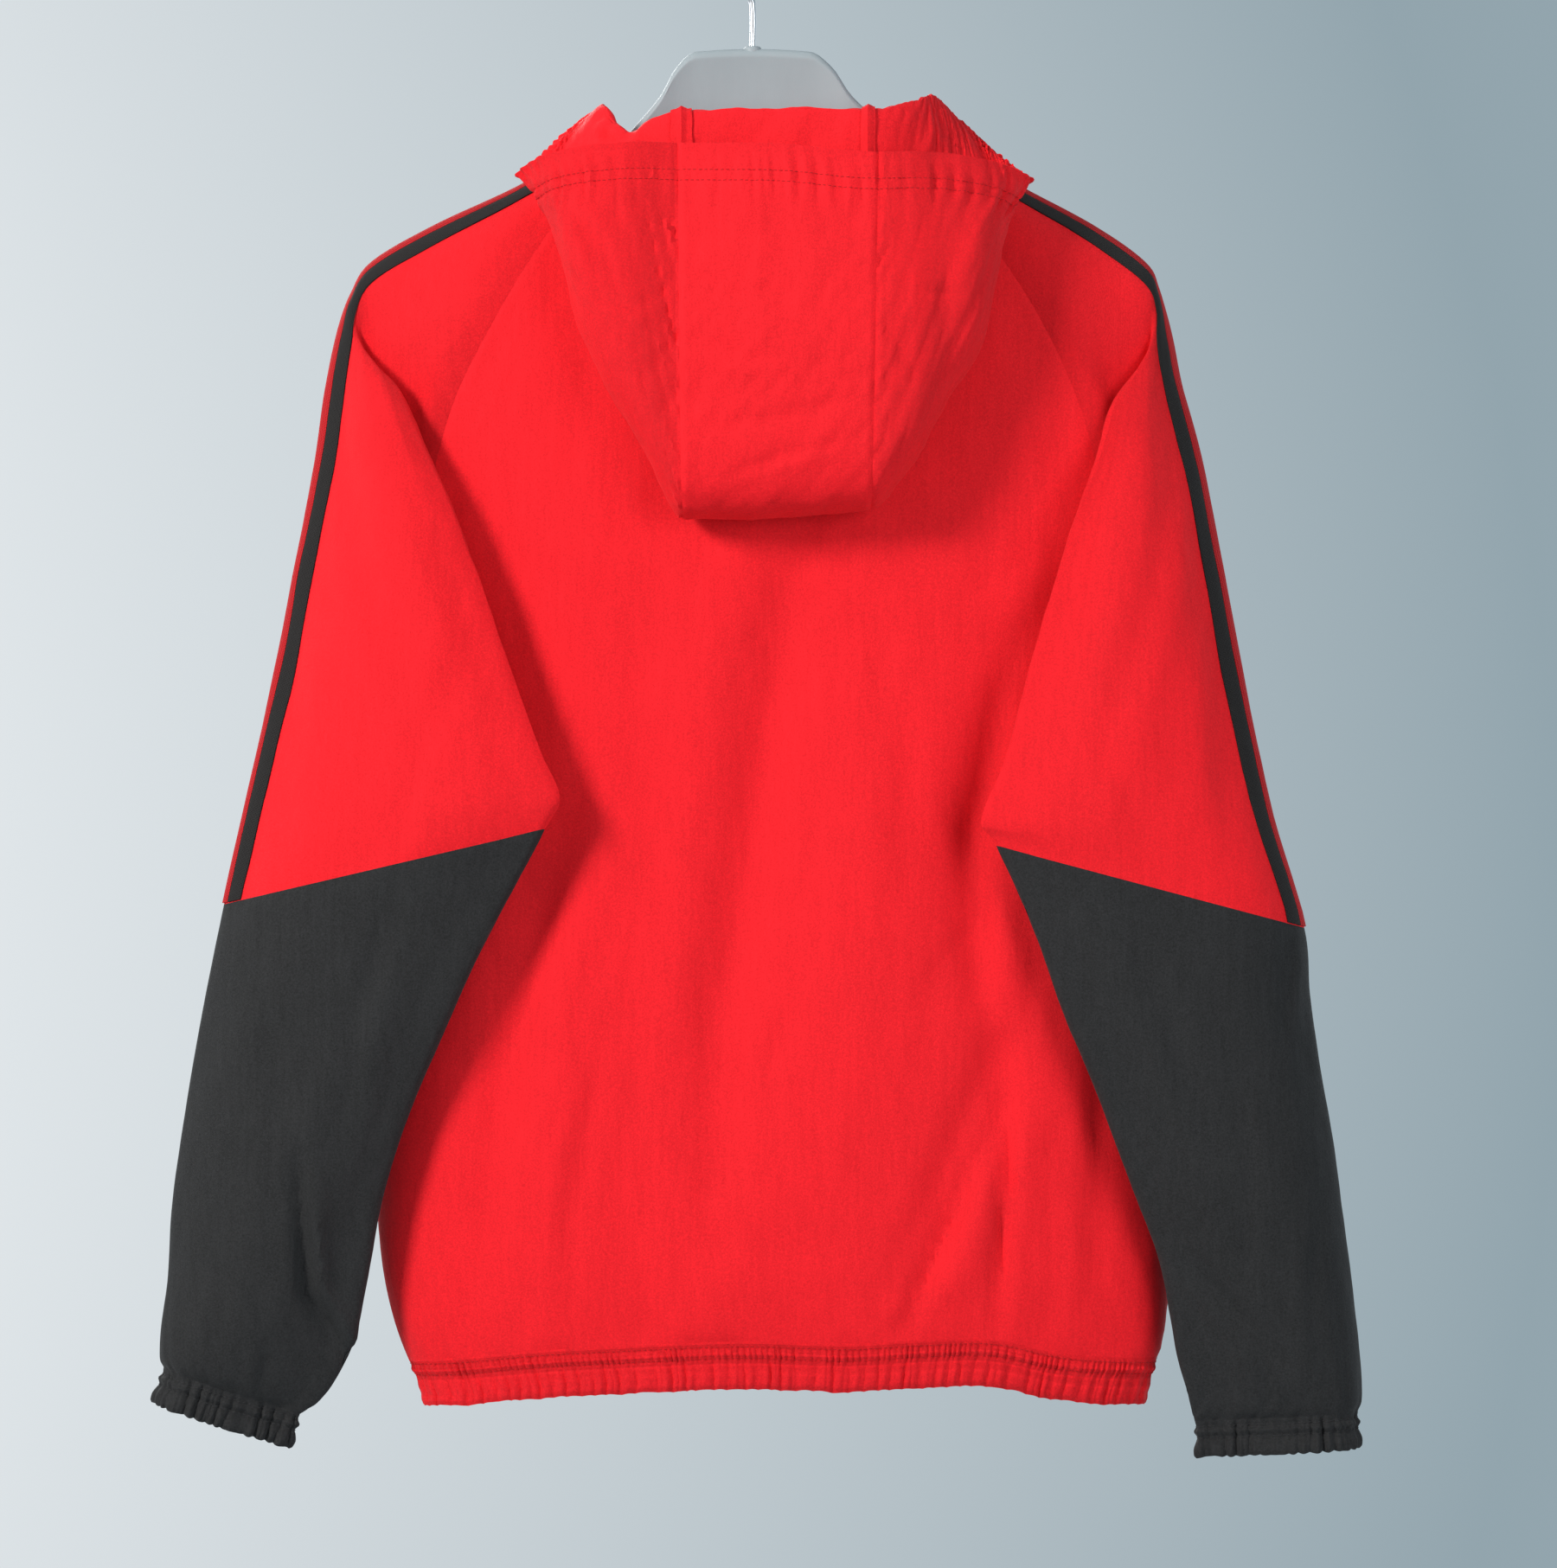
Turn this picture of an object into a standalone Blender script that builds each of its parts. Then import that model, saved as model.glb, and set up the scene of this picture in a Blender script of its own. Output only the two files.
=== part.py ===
"""Hooded windbreaker hanging on a moulded hanger, at real size in metres.

The frame: +Z is up, +Y is the garment's back, +X is the wearer's left. The origin is the point
inside the top of the hanger's hook where it sits on a rail. Every cloth piece is a thin wall,
lofted through the rows of the tables below, and neighbouring pieces keep a seam gap.
"""

import math

import bmesh
import bpy
import numpy as np

# ---- driving sizes ---------------------------------------------------------------------------
CLOTH = 0.0012          # wall of the shell cloth
CASING = 0.0018         # turned and stitched elastic casing: hem and cuffs
TAPE = 0.0010           # knitted tape on the shoulder and sleeve
SEAM_GAP = 0.0003       # between two pieces that are sewn together
LAY_GAP = 0.0005        # between a tape and the cloth it lies on
ROUND = 2.4             # exponent of the body's flattened oval section

NECK_LEFT = (0.0900, -0.1165)     # x, z of the neck point on each shoulder
NECK_RIGHT = (-0.1070, -0.1165)
BACK_NECK_DROP = 0.0225
FRONT_NECK_DROP = 0.0900
ARMPIT_LEFT = (0.2000, -0.3915)
ARMPIT_RIGHT = (-0.2175, -0.3915)
ZIP_HALF = 0.0045                 # from the zip's middle line to each front's edge
HEM_TOP = -0.8080                 # where the body cloth meets the hem casing, at mid back
HEM_HEIGHT = 0.0275
HEM_WAVES = 100
CUFF_WAVES = 24

BACK_COLUMNS = 16
FRONT_COLUMNS = 8
BODY_ROWS = 9                     # from armpit to hem
FOLD_SHARES = (0.21, 0.41, 0.60, 0.77, 0.90, 1.0)    # sleeve columns from the tapes to the fold
UNDER_SHARES = (0.13, 0.32, 0.54, 0.77, 1.0)         # and from the fold to the underarm
BACK_RAGLAN_ROWS = len(FOLD_SHARES) + len(UNDER_SHARES)
FRONT_RAGLAN_ROWS = 8

# distances round the sleeve from its outer line, towards the back: rib tape, then black tape
RIB_EDGES = (-0.0120, -0.0050, 0.0020, 0.0090)
STRIPE_EDGES = (0.0090, 0.0155, 0.0220)

RED = (0.80, 0.030, 0.035, 1.0)
BLACK = (0.030, 0.030, 0.031, 1.0)
RIB_RED = (0.62, 0.020, 0.025, 1.0)
GREY = (0.36, 0.39, 0.41, 1.0)
STEEL = (0.60, 0.61, 0.62, 1.0)

# ---- tables: one row for each level of the body ----------------------------------------------
# z, left edge x, right edge x, half depth, middle y
BODY = (
    (-0.1165, 0.0905, -0.1075, 0.0300, 0.0000),
    (-0.1390, 0.1310, -0.1480, 0.0350, 0.0000),
    (-0.1650, 0.1840, -0.1960, 0.0360, 0.0000),
    (-0.1900, 0.2220, -0.2300, 0.0360, -0.0005),
    (-0.2200, 0.2330, -0.2400, 0.0365, -0.0010),
    (-0.3050, 0.2340, -0.2430, 0.0375, -0.0030),
    (-0.3550, 0.2140, -0.2290, 0.0390, -0.0045),
    (-0.3915, 0.2000, -0.2175, 0.0400, -0.0060),
    (-0.4940, 0.2080, -0.2260, 0.0430, -0.0080),
    (-0.6200, 0.2150, -0.2340, 0.0460, -0.0080),
    (-0.7440, 0.2165, -0.2400, 0.0470, -0.0080),
    (-0.7800, 0.2120, -0.2405, 0.0450, -0.0070),
    (-0.8080, 0.2040, -0.2370, 0.0410, -0.0060),
    (-0.8200, 0.1990, -0.2340, 0.0400, -0.0060),
    (-0.8400, 0.1900, -0.2270, 0.0380, -0.0060),
)

# hem casing below the seam, the upper part being the stitched elastic channel: share of its
# height, outward swell, half height of a gather
HEM_ROWS = (
    (0.36, -0.0008, 0.0007),
    (0.72, 0.0015, 0.0014),
    (1.00, 0.0000, 0.0013),
)

# how far the hem hangs below its mid-back level: x, drop
HEM_DROP = (
    (0.2040, 0.0120), (0.1700, 0.0095), (0.1230, 0.0045), (0.0750, 0.0015), (0.0050, -0.0015),
    (-0.0600, 0.0000), (-0.0950, -0.0020), (-0.1400, -0.0020), (-0.1710, 0.0050), (-0.2370, 0.0110),
)

# raglan seams from the neck to the armpit, between those two points: x, z
RAGLAN_BACK_LEFT = ((0.1160, -0.1700), (0.1495, -0.2240), (0.1700, -0.2650), (0.1830, -0.3080), (0.1925, -0.3540))
RAGLAN_BACK_RIGHT = ((-0.1320, -0.1700), (-0.1670, -0.2240), (-0.1860, -0.2650), (-0.1985, -0.3080), (-0.2090, -0.3540))
RAGLAN_FRONT_LEFT = ((0.1080, -0.1750), (0.1380, -0.2300), (0.1620, -0.2850), (0.1840, -0.3450))
RAGLAN_FRONT_RIGHT = ((-0.1240, -0.1750), (-0.1550, -0.2300), (-0.1790, -0.2850), (-0.2010, -0.3450))

# largest soft folds of the back: x and z of the top, x and z of the bottom, half width, depth
BACK_FOLDS = (
    (-0.0350, -0.3500, 0.0150, -0.7300, 0.0300, 0.0055),
    (-0.0750, -0.4000, -0.0500, -0.7800, 0.0300, -0.0035),
    (0.1150, -0.4800, 0.1500, -0.7000, 0.0220, 0.0060),
    (-0.1400, -0.4300, -0.1250, -0.6200, 0.0180, 0.0060),
    (-0.1420, -0.6300, -0.0870, -0.7850, 0.0120, 0.0060),
    (-0.1500, -0.5900, -0.1420, -0.7850, 0.0110, 0.0060),
    (-0.1600, -0.6700, -0.1150, -0.7850, 0.0160, -0.0040),
    (0.1200, -0.5600, 0.1150, -0.7800, 0.0200, -0.0035),
    (0.0600, -0.4500, 0.0700, -0.7600, 0.0260, 0.0030),
)
FRONT_FOLDS = (
    (0.0900, -0.3300, 0.0700, -0.7500, 0.0260, 0.0045),
    (-0.1150, -0.3000, -0.0900, -0.7600, 0.0280, 0.0050),
    (0.1500, -0.4500, 0.1350, -0.7700, 0.0180, 0.0040),
    (-0.1750, -0.5000, -0.1600, -0.7800, 0.0160, 0.0040),
)

# sleeve rings. Columns: outer line x, z; fold edge x, z; underarm x, z; then the depths y of the
# outer line, mid back, fold, underarm, mid front; and the roundness of the outer edge
SLEEVE_LEFT = (
    (0.1350, -0.1425, 0.1820, -0.2640, 0.2085, -0.3905, 0.000, 0.0290, 0.0260, -0.0040, -0.0280, 0.020),
    (0.1835, -0.1650, 0.1960, -0.2690, 0.2130, -0.3885, 0.000, 0.0250, 0.0200, -0.0010, -0.0270, 0.020),
    (0.2195, -0.1860, 0.2150, -0.2690, 0.2165, -0.3875, 0.000, 0.0190, 0.0155, 0.0010, -0.0260, 0.020),
    (0.2310, -0.2040, 0.2190, -0.2620, 0.2185, -0.3885, 0.001, 0.0165, 0.0160, 0.0030, -0.0250, 0.018),
    (0.2380, -0.2240, 0.2060, -0.2570, 0.2200, -0.3925, 0.002, 0.0270, 0.0310, 0.0050, -0.0240, 0.024),
    (0.2445, -0.2540, 0.1890, -0.2920, 0.2215, -0.3985, 0.004, 0.0390, 0.0430, 0.0060, -0.0210, 0.024),
    (0.2520, -0.3040, 0.1640, -0.3480, 0.2220, -0.4110, 0.007, 0.0510, 0.0480, 0.0100, -0.0140, 0.026),
    (0.2650, -0.3740, 0.1400, -0.4160, 0.2170, -0.4320, 0.010, 0.0590, 0.0520, 0.0180, -0.0060, 0.028),
    (0.2790, -0.4440, 0.1210, -0.4680, 0.1900, -0.4620, 0.013, 0.0630, 0.0560, 0.0340, 0.0060, 0.030),
    (0.2910, -0.4990, 0.1100, -0.4945, 0.1500, -0.4980, 0.015, 0.0640, 0.0570, 0.0420, 0.0160, 0.030),
    (0.3040, -0.5565, 0.1180, -0.5130, 0.1400, -0.5210, 0.016, 0.0610, 0.0540, 0.0425, 0.0180, 0.030),
)
SLEEVE_RIGHT = (
    (-0.1540, -0.1425, -0.1980, -0.2640, -0.2260, -0.3905, 0.000, 0.0290, 0.0260, -0.0040, -0.0280, 0.020),
    (-0.1960, -0.1650, -0.2085, -0.2690, -0.2305, -0.3885, 0.000, 0.0250, 0.0200, -0.0010, -0.0270, 0.020),
    (-0.2260, -0.1860, -0.2205, -0.2690, -0.2340, -0.3875, 0.000, 0.0190, 0.0155, 0.0010, -0.0260, 0.020),
    (-0.2340, -0.2010, -0.2245, -0.2620, -0.2360, -0.3885, 0.001, 0.0165, 0.0160, 0.0030, -0.0250, 0.018),
    (-0.2410, -0.2270, -0.2110, -0.2600, -0.2375, -0.3925, 0.002, 0.0250, 0.0290, 0.0050, -0.0240, 0.022),
    (-0.2470, -0.2580, -0.1985, -0.2980, -0.2390, -0.3985, 0.004, 0.0370, 0.0415, 0.0060, -0.0210, 0.024),
    (-0.2590, -0.3040, -0.1810, -0.3480, -0.2395, -0.4110, 0.007, 0.0500, 0.0470, 0.0100, -0.0140, 0.026),
    (-0.2725, -0.3740, -0.1610, -0.4110, -0.2345, -0.4320, 0.010, 0.0580, 0.0510, 0.0180, -0.0060, 0.028),
    (-0.2855, -0.4440, -0.1440, -0.4740, -0.2080, -0.4640, 0.013, 0.0620, 0.0550, 0.0340, 0.0060, 0.030),
    (-0.2990, -0.5060, -0.1300, -0.5080, -0.1690, -0.5080, 0.015, 0.0630, 0.0560, 0.0430, 0.0160, 0.030),
    (-0.3175, -0.5700, -0.1390, -0.5225, -0.1600, -0.5300, 0.016, 0.0600, 0.0530, 0.0435, 0.0190, 0.030),
)
FOREARM_LEFT = (
    (0.3150, -0.6090, 0.1525, -0.5765, 0.1640, -0.5800, 0.014, 0.0560, 0.0480, 0.0390, 0.0150, 0.030),
    (0.3225, -0.6490, 0.1750, -0.6265, 0.1780, -0.6280, 0.012, 0.0530, 0.0440, 0.0340, 0.0080, 0.030),
    (0.3295, -0.6940, 0.1950, -0.6740, 0.1980, -0.6750, 0.011, 0.0500, 0.0390, 0.0290, 0.0020, 0.030),
    (0.3350, -0.7340, 0.2120, -0.7265, 0.2150, -0.7270, 0.010, 0.0470, 0.0340, 0.0230, -0.0040, 0.030),
    (0.3375, -0.7740, 0.2215, -0.7740, 0.2245, -0.7740, 0.009, 0.0430, 0.0280, 0.0160, -0.0090, 0.030),
    (0.3410, -0.8000, 0.2290, -0.8090, 0.2310, -0.8085, 0.009, 0.0380, 0.0230, 0.0120, -0.0080, 0.028),
    (0.3415, -0.8165, 0.2450, -0.8390, 0.2470, -0.8385, 0.010, 0.0310, 0.0180, 0.0100, -0.0040, 0.022),
    (0.3395, -0.8235, 0.2605, -0.8500, 0.2620, -0.8495, 0.011, 0.0250, 0.0150, 0.0090, -0.0010, 0.014),
)
FOREARM_RIGHT = (
    (-0.3210, -0.6090, -0.1600, -0.5715, -0.1720, -0.5750, 0.014, 0.0570, 0.0500, 0.0410, 0.0190, 0.030),
    (-0.3270, -0.6490, -0.1775, -0.6190, -0.1810, -0.6205, 0.012, 0.0550, 0.0480, 0.0390, 0.0150, 0.030),
    (-0.3350, -0.6940, -0.1975, -0.6650, -0.2010, -0.6660, 0.011, 0.0520, 0.0440, 0.0350, 0.0090, 0.030),
    (-0.3400, -0.7340, -0.2175, -0.7190, -0.2210, -0.7195, 0.010, 0.0490, 0.0390, 0.0290, 0.0020, 0.030),
    (-0.3455, -0.7740, -0.2340, -0.7665, -0.2370, -0.7665, 0.009, 0.0430, 0.0310, 0.0200, -0.0080, 0.030),
    (-0.3505, -0.8140, -0.2430, -0.8140, -0.2455, -0.8140, 0.009, 0.0380, 0.0240, 0.0130, -0.0080, 0.028),
    (-0.3520, -0.8390, -0.2510, -0.8440, -0.2530, -0.8440, 0.010, 0.0310, 0.0190, 0.0110, -0.0050, 0.022),
    (-0.3495, -0.8485, -0.2545, -0.8540, -0.2560, -0.8540, 0.011, 0.0260, 0.0160, 0.0090, -0.0020, 0.016),
)

# cuff casing below the sleeve seam: share of its height, outward swell, half height of a gather
CUFF_HEIGHT = 0.0210
CUFF_ROWS = (
    (0.40, 0.0015, 0.0006),
    (0.75, 0.0025, 0.0013),
    (1.00, 0.0000, 0.0012),
)

# hood stations on the left half, from centre back round to centre front. Columns: share of the
# half neck seam; fold over the neck x, y, z; bottom of the bag x, y, z; face edge x, y, z
HOOD_LEFT = (
    (0.000, -0.0085, 0.0480, -0.1065, -0.0085, 0.0560, -0.3360, -0.0085, 0.0860, -0.1260),
    (0.180, 0.0400, 0.0480, -0.1075, 0.0400, 0.0550, -0.3365, 0.0420, 0.0830, -0.1255),
    (0.240, 0.0590, 0.0450, -0.1120, 0.0640, 0.0530, -0.2930, 0.0660, 0.0800, -0.1245),
    (0.290, 0.0690, 0.0420, -0.1160, 0.0840, 0.0500, -0.2600, 0.0880, 0.0740, -0.1255),
    (0.330, 0.0770, 0.0380, -0.1090, 0.1010, 0.0460, -0.2215, 0.1090, 0.0650, -0.1280),
    (0.365, 0.0830, 0.0320, -0.1010, 0.1110, 0.0420, -0.1840, 0.1250, 0.0540, -0.1320),
    (0.395, 0.0850, 0.0240, -0.0975, 0.1220, 0.0350, -0.1500, 0.1370, 0.0380, -0.1405),
    (0.440, 0.0860, 0.0120, -0.0965, 0.1070, 0.0160, -0.1130, 0.1180, 0.0190, -0.1220),
    (0.480, 0.0880, 0.0010, -0.0990, 0.0960, 0.0010, -0.1030, 0.1030, 0.0010, -0.1080),
    (0.550, 0.0860, -0.0140, -0.1050, 0.0880, -0.0170, -0.1030, 0.0890, -0.0190, -0.1010),
    (0.720, 0.0560, -0.0360, -0.1560, 0.0555, -0.0375, -0.1460, 0.0545, -0.0390, -0.1370),
    (1.000, -0.0040, -0.0390, -0.1950, -0.0040, -0.0410, -0.1830, -0.0040, -0.0430, -0.1710),
)
HOOD_RIGHT = (
    (0.000, -0.0085, 0.0480, -0.1065, -0.0085, 0.0560, -0.3360, -0.0085, 0.0860, -0.1260),
    (0.230, -0.0670, 0.0480, -0.1060, -0.0680, 0.0550, -0.3310, -0.0715, 0.0830, -0.1305),
    (0.275, -0.0770, 0.0460, -0.1040, -0.0900, 0.0530, -0.3080, -0.0900, 0.0800, -0.1300),
    (0.315, -0.0860, 0.0420, -0.1010, -0.1110, 0.0500, -0.2700, -0.1060, 0.0740, -0.1300),
    (0.350, -0.0940, 0.0370, -0.0970, -0.1330, 0.0460, -0.2340, -0.1270, 0.0650, -0.1320),
    (0.380, -0.1000, 0.0300, -0.0935, -0.1410, 0.0420, -0.1960, -0.1450, 0.0540, -0.1350),
    (0.405, -0.1030, 0.0220, -0.0925, -0.1490, 0.0350, -0.1550, -0.1635, 0.0380, -0.1430),
    (0.445, -0.1060, 0.0110, -0.0950, -0.1280, 0.0150, -0.1140, -0.1400, 0.0180, -0.1250),
    (0.485, -0.1070, 0.0010, -0.0990, -0.1160, 0.0010, -0.1050, -0.1230, 0.0010, -0.1110),
    (0.550, -0.1040, -0.0140, -0.1050, -0.1050, -0.0170, -0.1030, -0.1060, -0.0190, -0.1010),
    (0.720, -0.0730, -0.0360, -0.1560, -0.0725, -0.0375, -0.1460, -0.0715, -0.0390, -0.1370),
    (1.000, -0.0130, -0.0390, -0.1950, -0.0130, -0.0410, -0.1830, -0.0130, -0.0430, -0.1710),
)
HOOD_CENTRE_COLUMNS = 8           # between the tables' second rows, which are the hood's two seams
HOOD_SIDE_STEPS = (1, 1, 1, 1, 2, 2, 2, 2, 2, 2)   # columns in each interval past that seam
HOOD_ROWS = 12

# hanger: x from its middle, that middle's x, top z, bottom z, half thickness
HANGER = (
    (0.0000, 0.0000, -0.0625, -0.1480, 0.0065),
    (0.0330, 0.0000, -0.0640, -0.1500, 0.0065),
    (0.0450, -0.0010, -0.0730, -0.1520, 0.0065),
    (0.0545, -0.0020, -0.0885, -0.1550, 0.0065),
    (0.0660, -0.0035, -0.1010, -0.1580, 0.0065),
    (0.0840, -0.0050, -0.1180, -0.1640, 0.0065),
    (0.1150, -0.0060, -0.1335, -0.1740, 0.0065),
    (0.1450, -0.0060, -0.1475, -0.1830, 0.0070),
    (0.1750, -0.0060, -0.1625, -0.1920, 0.0075),
    (0.2000, -0.0060, -0.1760, -0.2010, 0.0080),
    (0.2150, -0.0060, -0.1870, -0.2080, 0.0070),
)
HOOK_WIRE = 0.0018                # radius of the hook's wire
HOOK_BEND = 0.0158                # radius of the hook's bend, to the wire's middle
HOOK_NECK = (                     # x, z of the stem where it leaves the bend
    (0.0108, -0.0254), (0.0062, -0.0283), (0.0022, -0.0318), (0.0003, -0.0355), (0.0000, -0.0385),
)

# zip, from the neck seam to the bottom of the hem
ZIP_TAPE = 0.0010                 # thickness of a tape
ZIP_TAPE_INNER = 0.0008           # from the zip's middle to a tape's near and far edges
ZIP_TAPE_OUTER = 0.0130
ZIP_TOP = -0.2085
SLIDER_TOP = -0.2100
SLIDER = (0.0078, 0.0036, 0.0120) # width, depth, height
BAIL_OUT = 0.0026                 # depth and height of the bail's opening, its bar and its width
BAIL_HIGH = 0.0050
BAIL_BAR = 0.0012
BAIL_WIDTH = 0.0020
PULL_LENGTH = 0.0300              # below the hinge line
PULL_WIDTH = 0.0070
PULL_BAR = 0.00075                # half thickness, which is also the bar's radius
PULL_SLOT_WIDTH = 0.0030
PULL_SLOT_END = 0.0060


# ---- curves ----------------------------------------------------------------------------------
def level_slopes(knots, values):
    """Slopes at the knots that keep a curve from overshooting its values."""
    steps = np.diff(values, axis=0) / np.diff(knots)[:, None]
    before, after = steps[:-1], steps[1:]
    together = before * after > 0
    middle = np.where(together, 2 * before * after / np.where(together, before + after, 1), 0)
    return np.concatenate([steps[:1], middle, steps[-1:]])


def cubic(knots, values, at, level=False):
    """A smooth curve through values at knots, read at the places in at."""
    knots = np.asarray(knots, float)
    values = np.asarray(values, float)
    at = np.clip(np.asarray(at, float), knots[0], knots[-1])
    slopes = level_slopes(knots, values) if level else np.gradient(values, knots, axis=0)
    i = np.clip(np.searchsorted(knots, at, side="right") - 1, 0, len(knots) - 2)
    step = knots[i + 1] - knots[i]
    t = (at - knots[i]) / step
    if values.ndim > 1:
        t, step = t[..., None], step[..., None]
    h00 = 2 * t**3 - 3 * t**2 + 1
    h10 = t**3 - 2 * t**2 + t
    h01 = -2 * t**3 + 3 * t**2
    h11 = t**3 - t**2
    return h00 * values[i] + h10 * step * slopes[i] + h01 * values[i + 1] + h11 * step * slopes[i + 1]


def arc_lengths(points):
    steps = np.linalg.norm(np.diff(points, axis=0), axis=1)
    return np.concatenate([[0.0], np.cumsum(steps)])


def open_curve(points, samples):
    """Points spaced evenly along a smooth curve through the given points."""
    points = np.asarray(points, float)
    dense = cubic(arc_lengths(points), points, np.linspace(0, arc_lengths(points)[-1], 400))
    lengths = arc_lengths(dense)
    places = np.linspace(0, lengths[-1], samples) if np.isscalar(samples) else np.asarray(samples) * lengths[-1]
    return np.stack([np.interp(places, lengths, dense[:, k]) for k in range(3)], axis=1)


def closed_curve(points):
    """A dense smooth loop through the points, starting at the first."""
    points = np.asarray(points, float)
    wrapped = np.concatenate([points[-3:], points, points[:4]])
    knots = arc_lengths(wrapped)
    at = np.linspace(knots[3], knots[3 + len(points)], 721)
    return cubic(knots, wrapped, at)


def points_at(curve, places):
    """Points at the given distances along a dense curve."""
    lengths = arc_lengths(curve)
    return np.stack([np.interp(places, lengths, curve[:, k]) for k in range(3)], axis=1)


# ---- the body --------------------------------------------------------------------------------
def section(z):
    """Left edge, right edge, half depth and middle depth of the body at height z."""
    rows = np.array(BODY)[::-1]
    return np.moveaxis(cubic(rows[:, 0], rows[:, 1:], z), -1, 0)


def fold_depth(x, z, folds):
    """How far the folds push the cloth in, at x and z."""
    total = np.zeros(np.broadcast(x, z).shape)
    for x_top, z_top, x_bottom, z_bottom, half_width, depth in folds:
        along = (z_top - z) / (z_top - z_bottom)
        middle = x_top + (x_bottom - x_top) * along
        across = np.exp(-(((x - middle) / half_width) ** 2))
        fade = np.clip(1 - (2 * along - 1) ** 2, 0, 1) ** 0.7
        total = total + depth * across * fade
    return total


def body_depth(x, z, back):
    """Depth y of the body's cloth at x and z, on the back or the front."""
    left, right, half, middle = section(z)
    offset = np.abs((x - (left + right) / 2) / ((left - right) / 2))
    dome = np.clip(1 - np.clip(offset, 0, 1) ** ROUND, 0, 1) ** (1 / ROUND)
    folds = fold_depth(x, z, BACK_FOLDS if back else FRONT_FOLDS)
    away = (half - folds * np.clip(dome * 1.4, 0, 1)) * dome
    return middle + away if back else middle - away


def on_body(x, z, back):
    x, z = np.broadcast_arrays(np.asarray(x, float), np.asarray(z, float))
    return np.stack([x, body_depth(x, z, back), z], axis=-1)


def middle_x(z):
    """The centre line, which the zip follows."""
    return np.interp(z, (-0.84, -0.2065), (-0.0190, -0.0085))


def neck_curve(side, back):
    """The neckline from the shoulder's neck point to the middle of the back or the front."""
    x_side, z_side = NECK_LEFT if side == "left" else NECK_RIGHT
    centre = (NECK_LEFT[0] + NECK_RIGHT[0]) / 2
    share = np.sin(np.linspace(0, math.pi / 2, 200))
    x = x_side + (centre - x_side) * share**1.5
    reach = 1 - ((x - centre) / (x_side - centre)) ** 2
    z = z_side - (BACK_NECK_DROP if back else FRONT_NECK_DROP) * reach ** (1.0 if back else 0.85)
    return on_body(x, z, back)


def raglan_curve(side, back):
    """Points down the raglan seam from the neckline to the armpit."""
    table = {
        ("left", True): RAGLAN_BACK_LEFT,
        ("right", True): RAGLAN_BACK_RIGHT,
        ("left", False): RAGLAN_FRONT_LEFT,
        ("right", False): RAGLAN_FRONT_RIGHT,
    }[(side, back)]
    start = points_at(neck_curve(side, back), [STRIPE_EDGES[-1] if back else -RIB_EDGES[0]])[0]
    end_x, end_z = ARMPIT_LEFT if side == "left" else ARMPIT_RIGHT
    flat = [(start[0], 0, start[2])] + [(x, 0, z) for x, z in table] + [(end_x, 0, end_z)]
    count = BACK_RAGLAN_ROWS if back else FRONT_RAGLAN_ROWS
    line = open_curve(flat, count + 1)
    points = on_body(line[:, 0], line[:, 2], back)
    points[0] = start
    points[-1] = (end_x, section(np.array(end_z))[3], end_z)
    return points


def across_shares(count):
    """Even steps round a flattened half oval, as shares from -1 to 1."""
    angle = np.linspace(0, math.pi, 361)
    x = np.sign(np.cos(angle)) * np.abs(np.cos(angle)) ** (2 / ROUND)
    y = 0.2 * np.abs(np.sin(angle)) ** (2 / ROUND)
    lengths = arc_lengths(np.stack([x, y, 0 * x], axis=1))
    return np.interp(np.linspace(0, lengths[-1], count + 1), lengths, x)


def hem_top(x):
    table = np.array(HEM_DROP)[::-1]
    return HEM_TOP - cubic(table[:, 0], table[:, 1], x)


def back_grid():
    """The back panel, rows from neckline to hem, columns from left to right."""
    shares = across_shares(BACK_COLUMNS)
    left, right = raglan_curve("left", True), raglan_curve("right", True)
    rows = []
    for i in range(BACK_RAGLAN_ROWS + 1):
        x = (left[i, 0] + right[i, 0]) / 2 + (left[i, 0] - right[i, 0]) / 2 * shares
        if i == 0:
            centre = (NECK_LEFT[0] + NECK_RIGHT[0]) / 2
            side = np.where(x > centre, NECK_LEFT[0], NECK_RIGHT[0])
            z = NECK_LEFT[1] - BACK_NECK_DROP * (1 - ((x - centre) / (side - centre)) ** 2)
            dip = left[0, 2] - z
        else:
            fade = 1 - i / BACK_RAGLAN_ROWS
            z = (left[i, 2] + right[i, 2]) / 2 + (left[i, 2] - right[i, 2]) / 2 * shares - dip * fade
        row = on_body(x, z, True)
        row[0], row[-1] = left[i], right[i]
        rows.append(row)
    for j in range(1, BODY_ROWS + 1):
        rows.append(body_row(shares, j / BODY_ROWS, True))
    return np.array(rows)


def body_row(shares, down, back):
    """A row between the armpits and the hem. Shares run from 1 at the left to -1 at the right."""
    top = ARMPIT_LEFT[1]
    z = np.full(len(shares), top + (HEM_TOP - top) * down)
    for _ in range(3):
        left, right, half, middle = section(z)
        x = (left + right) / 2 + (left - right) / 2 * shares
        z = top + (hem_top(x) - top) * down
    row = on_body(x, z, back)
    edge = np.abs(np.abs(shares) - 1) < 1e-9
    row[edge, 1] = middle[edge]
    return row


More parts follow.
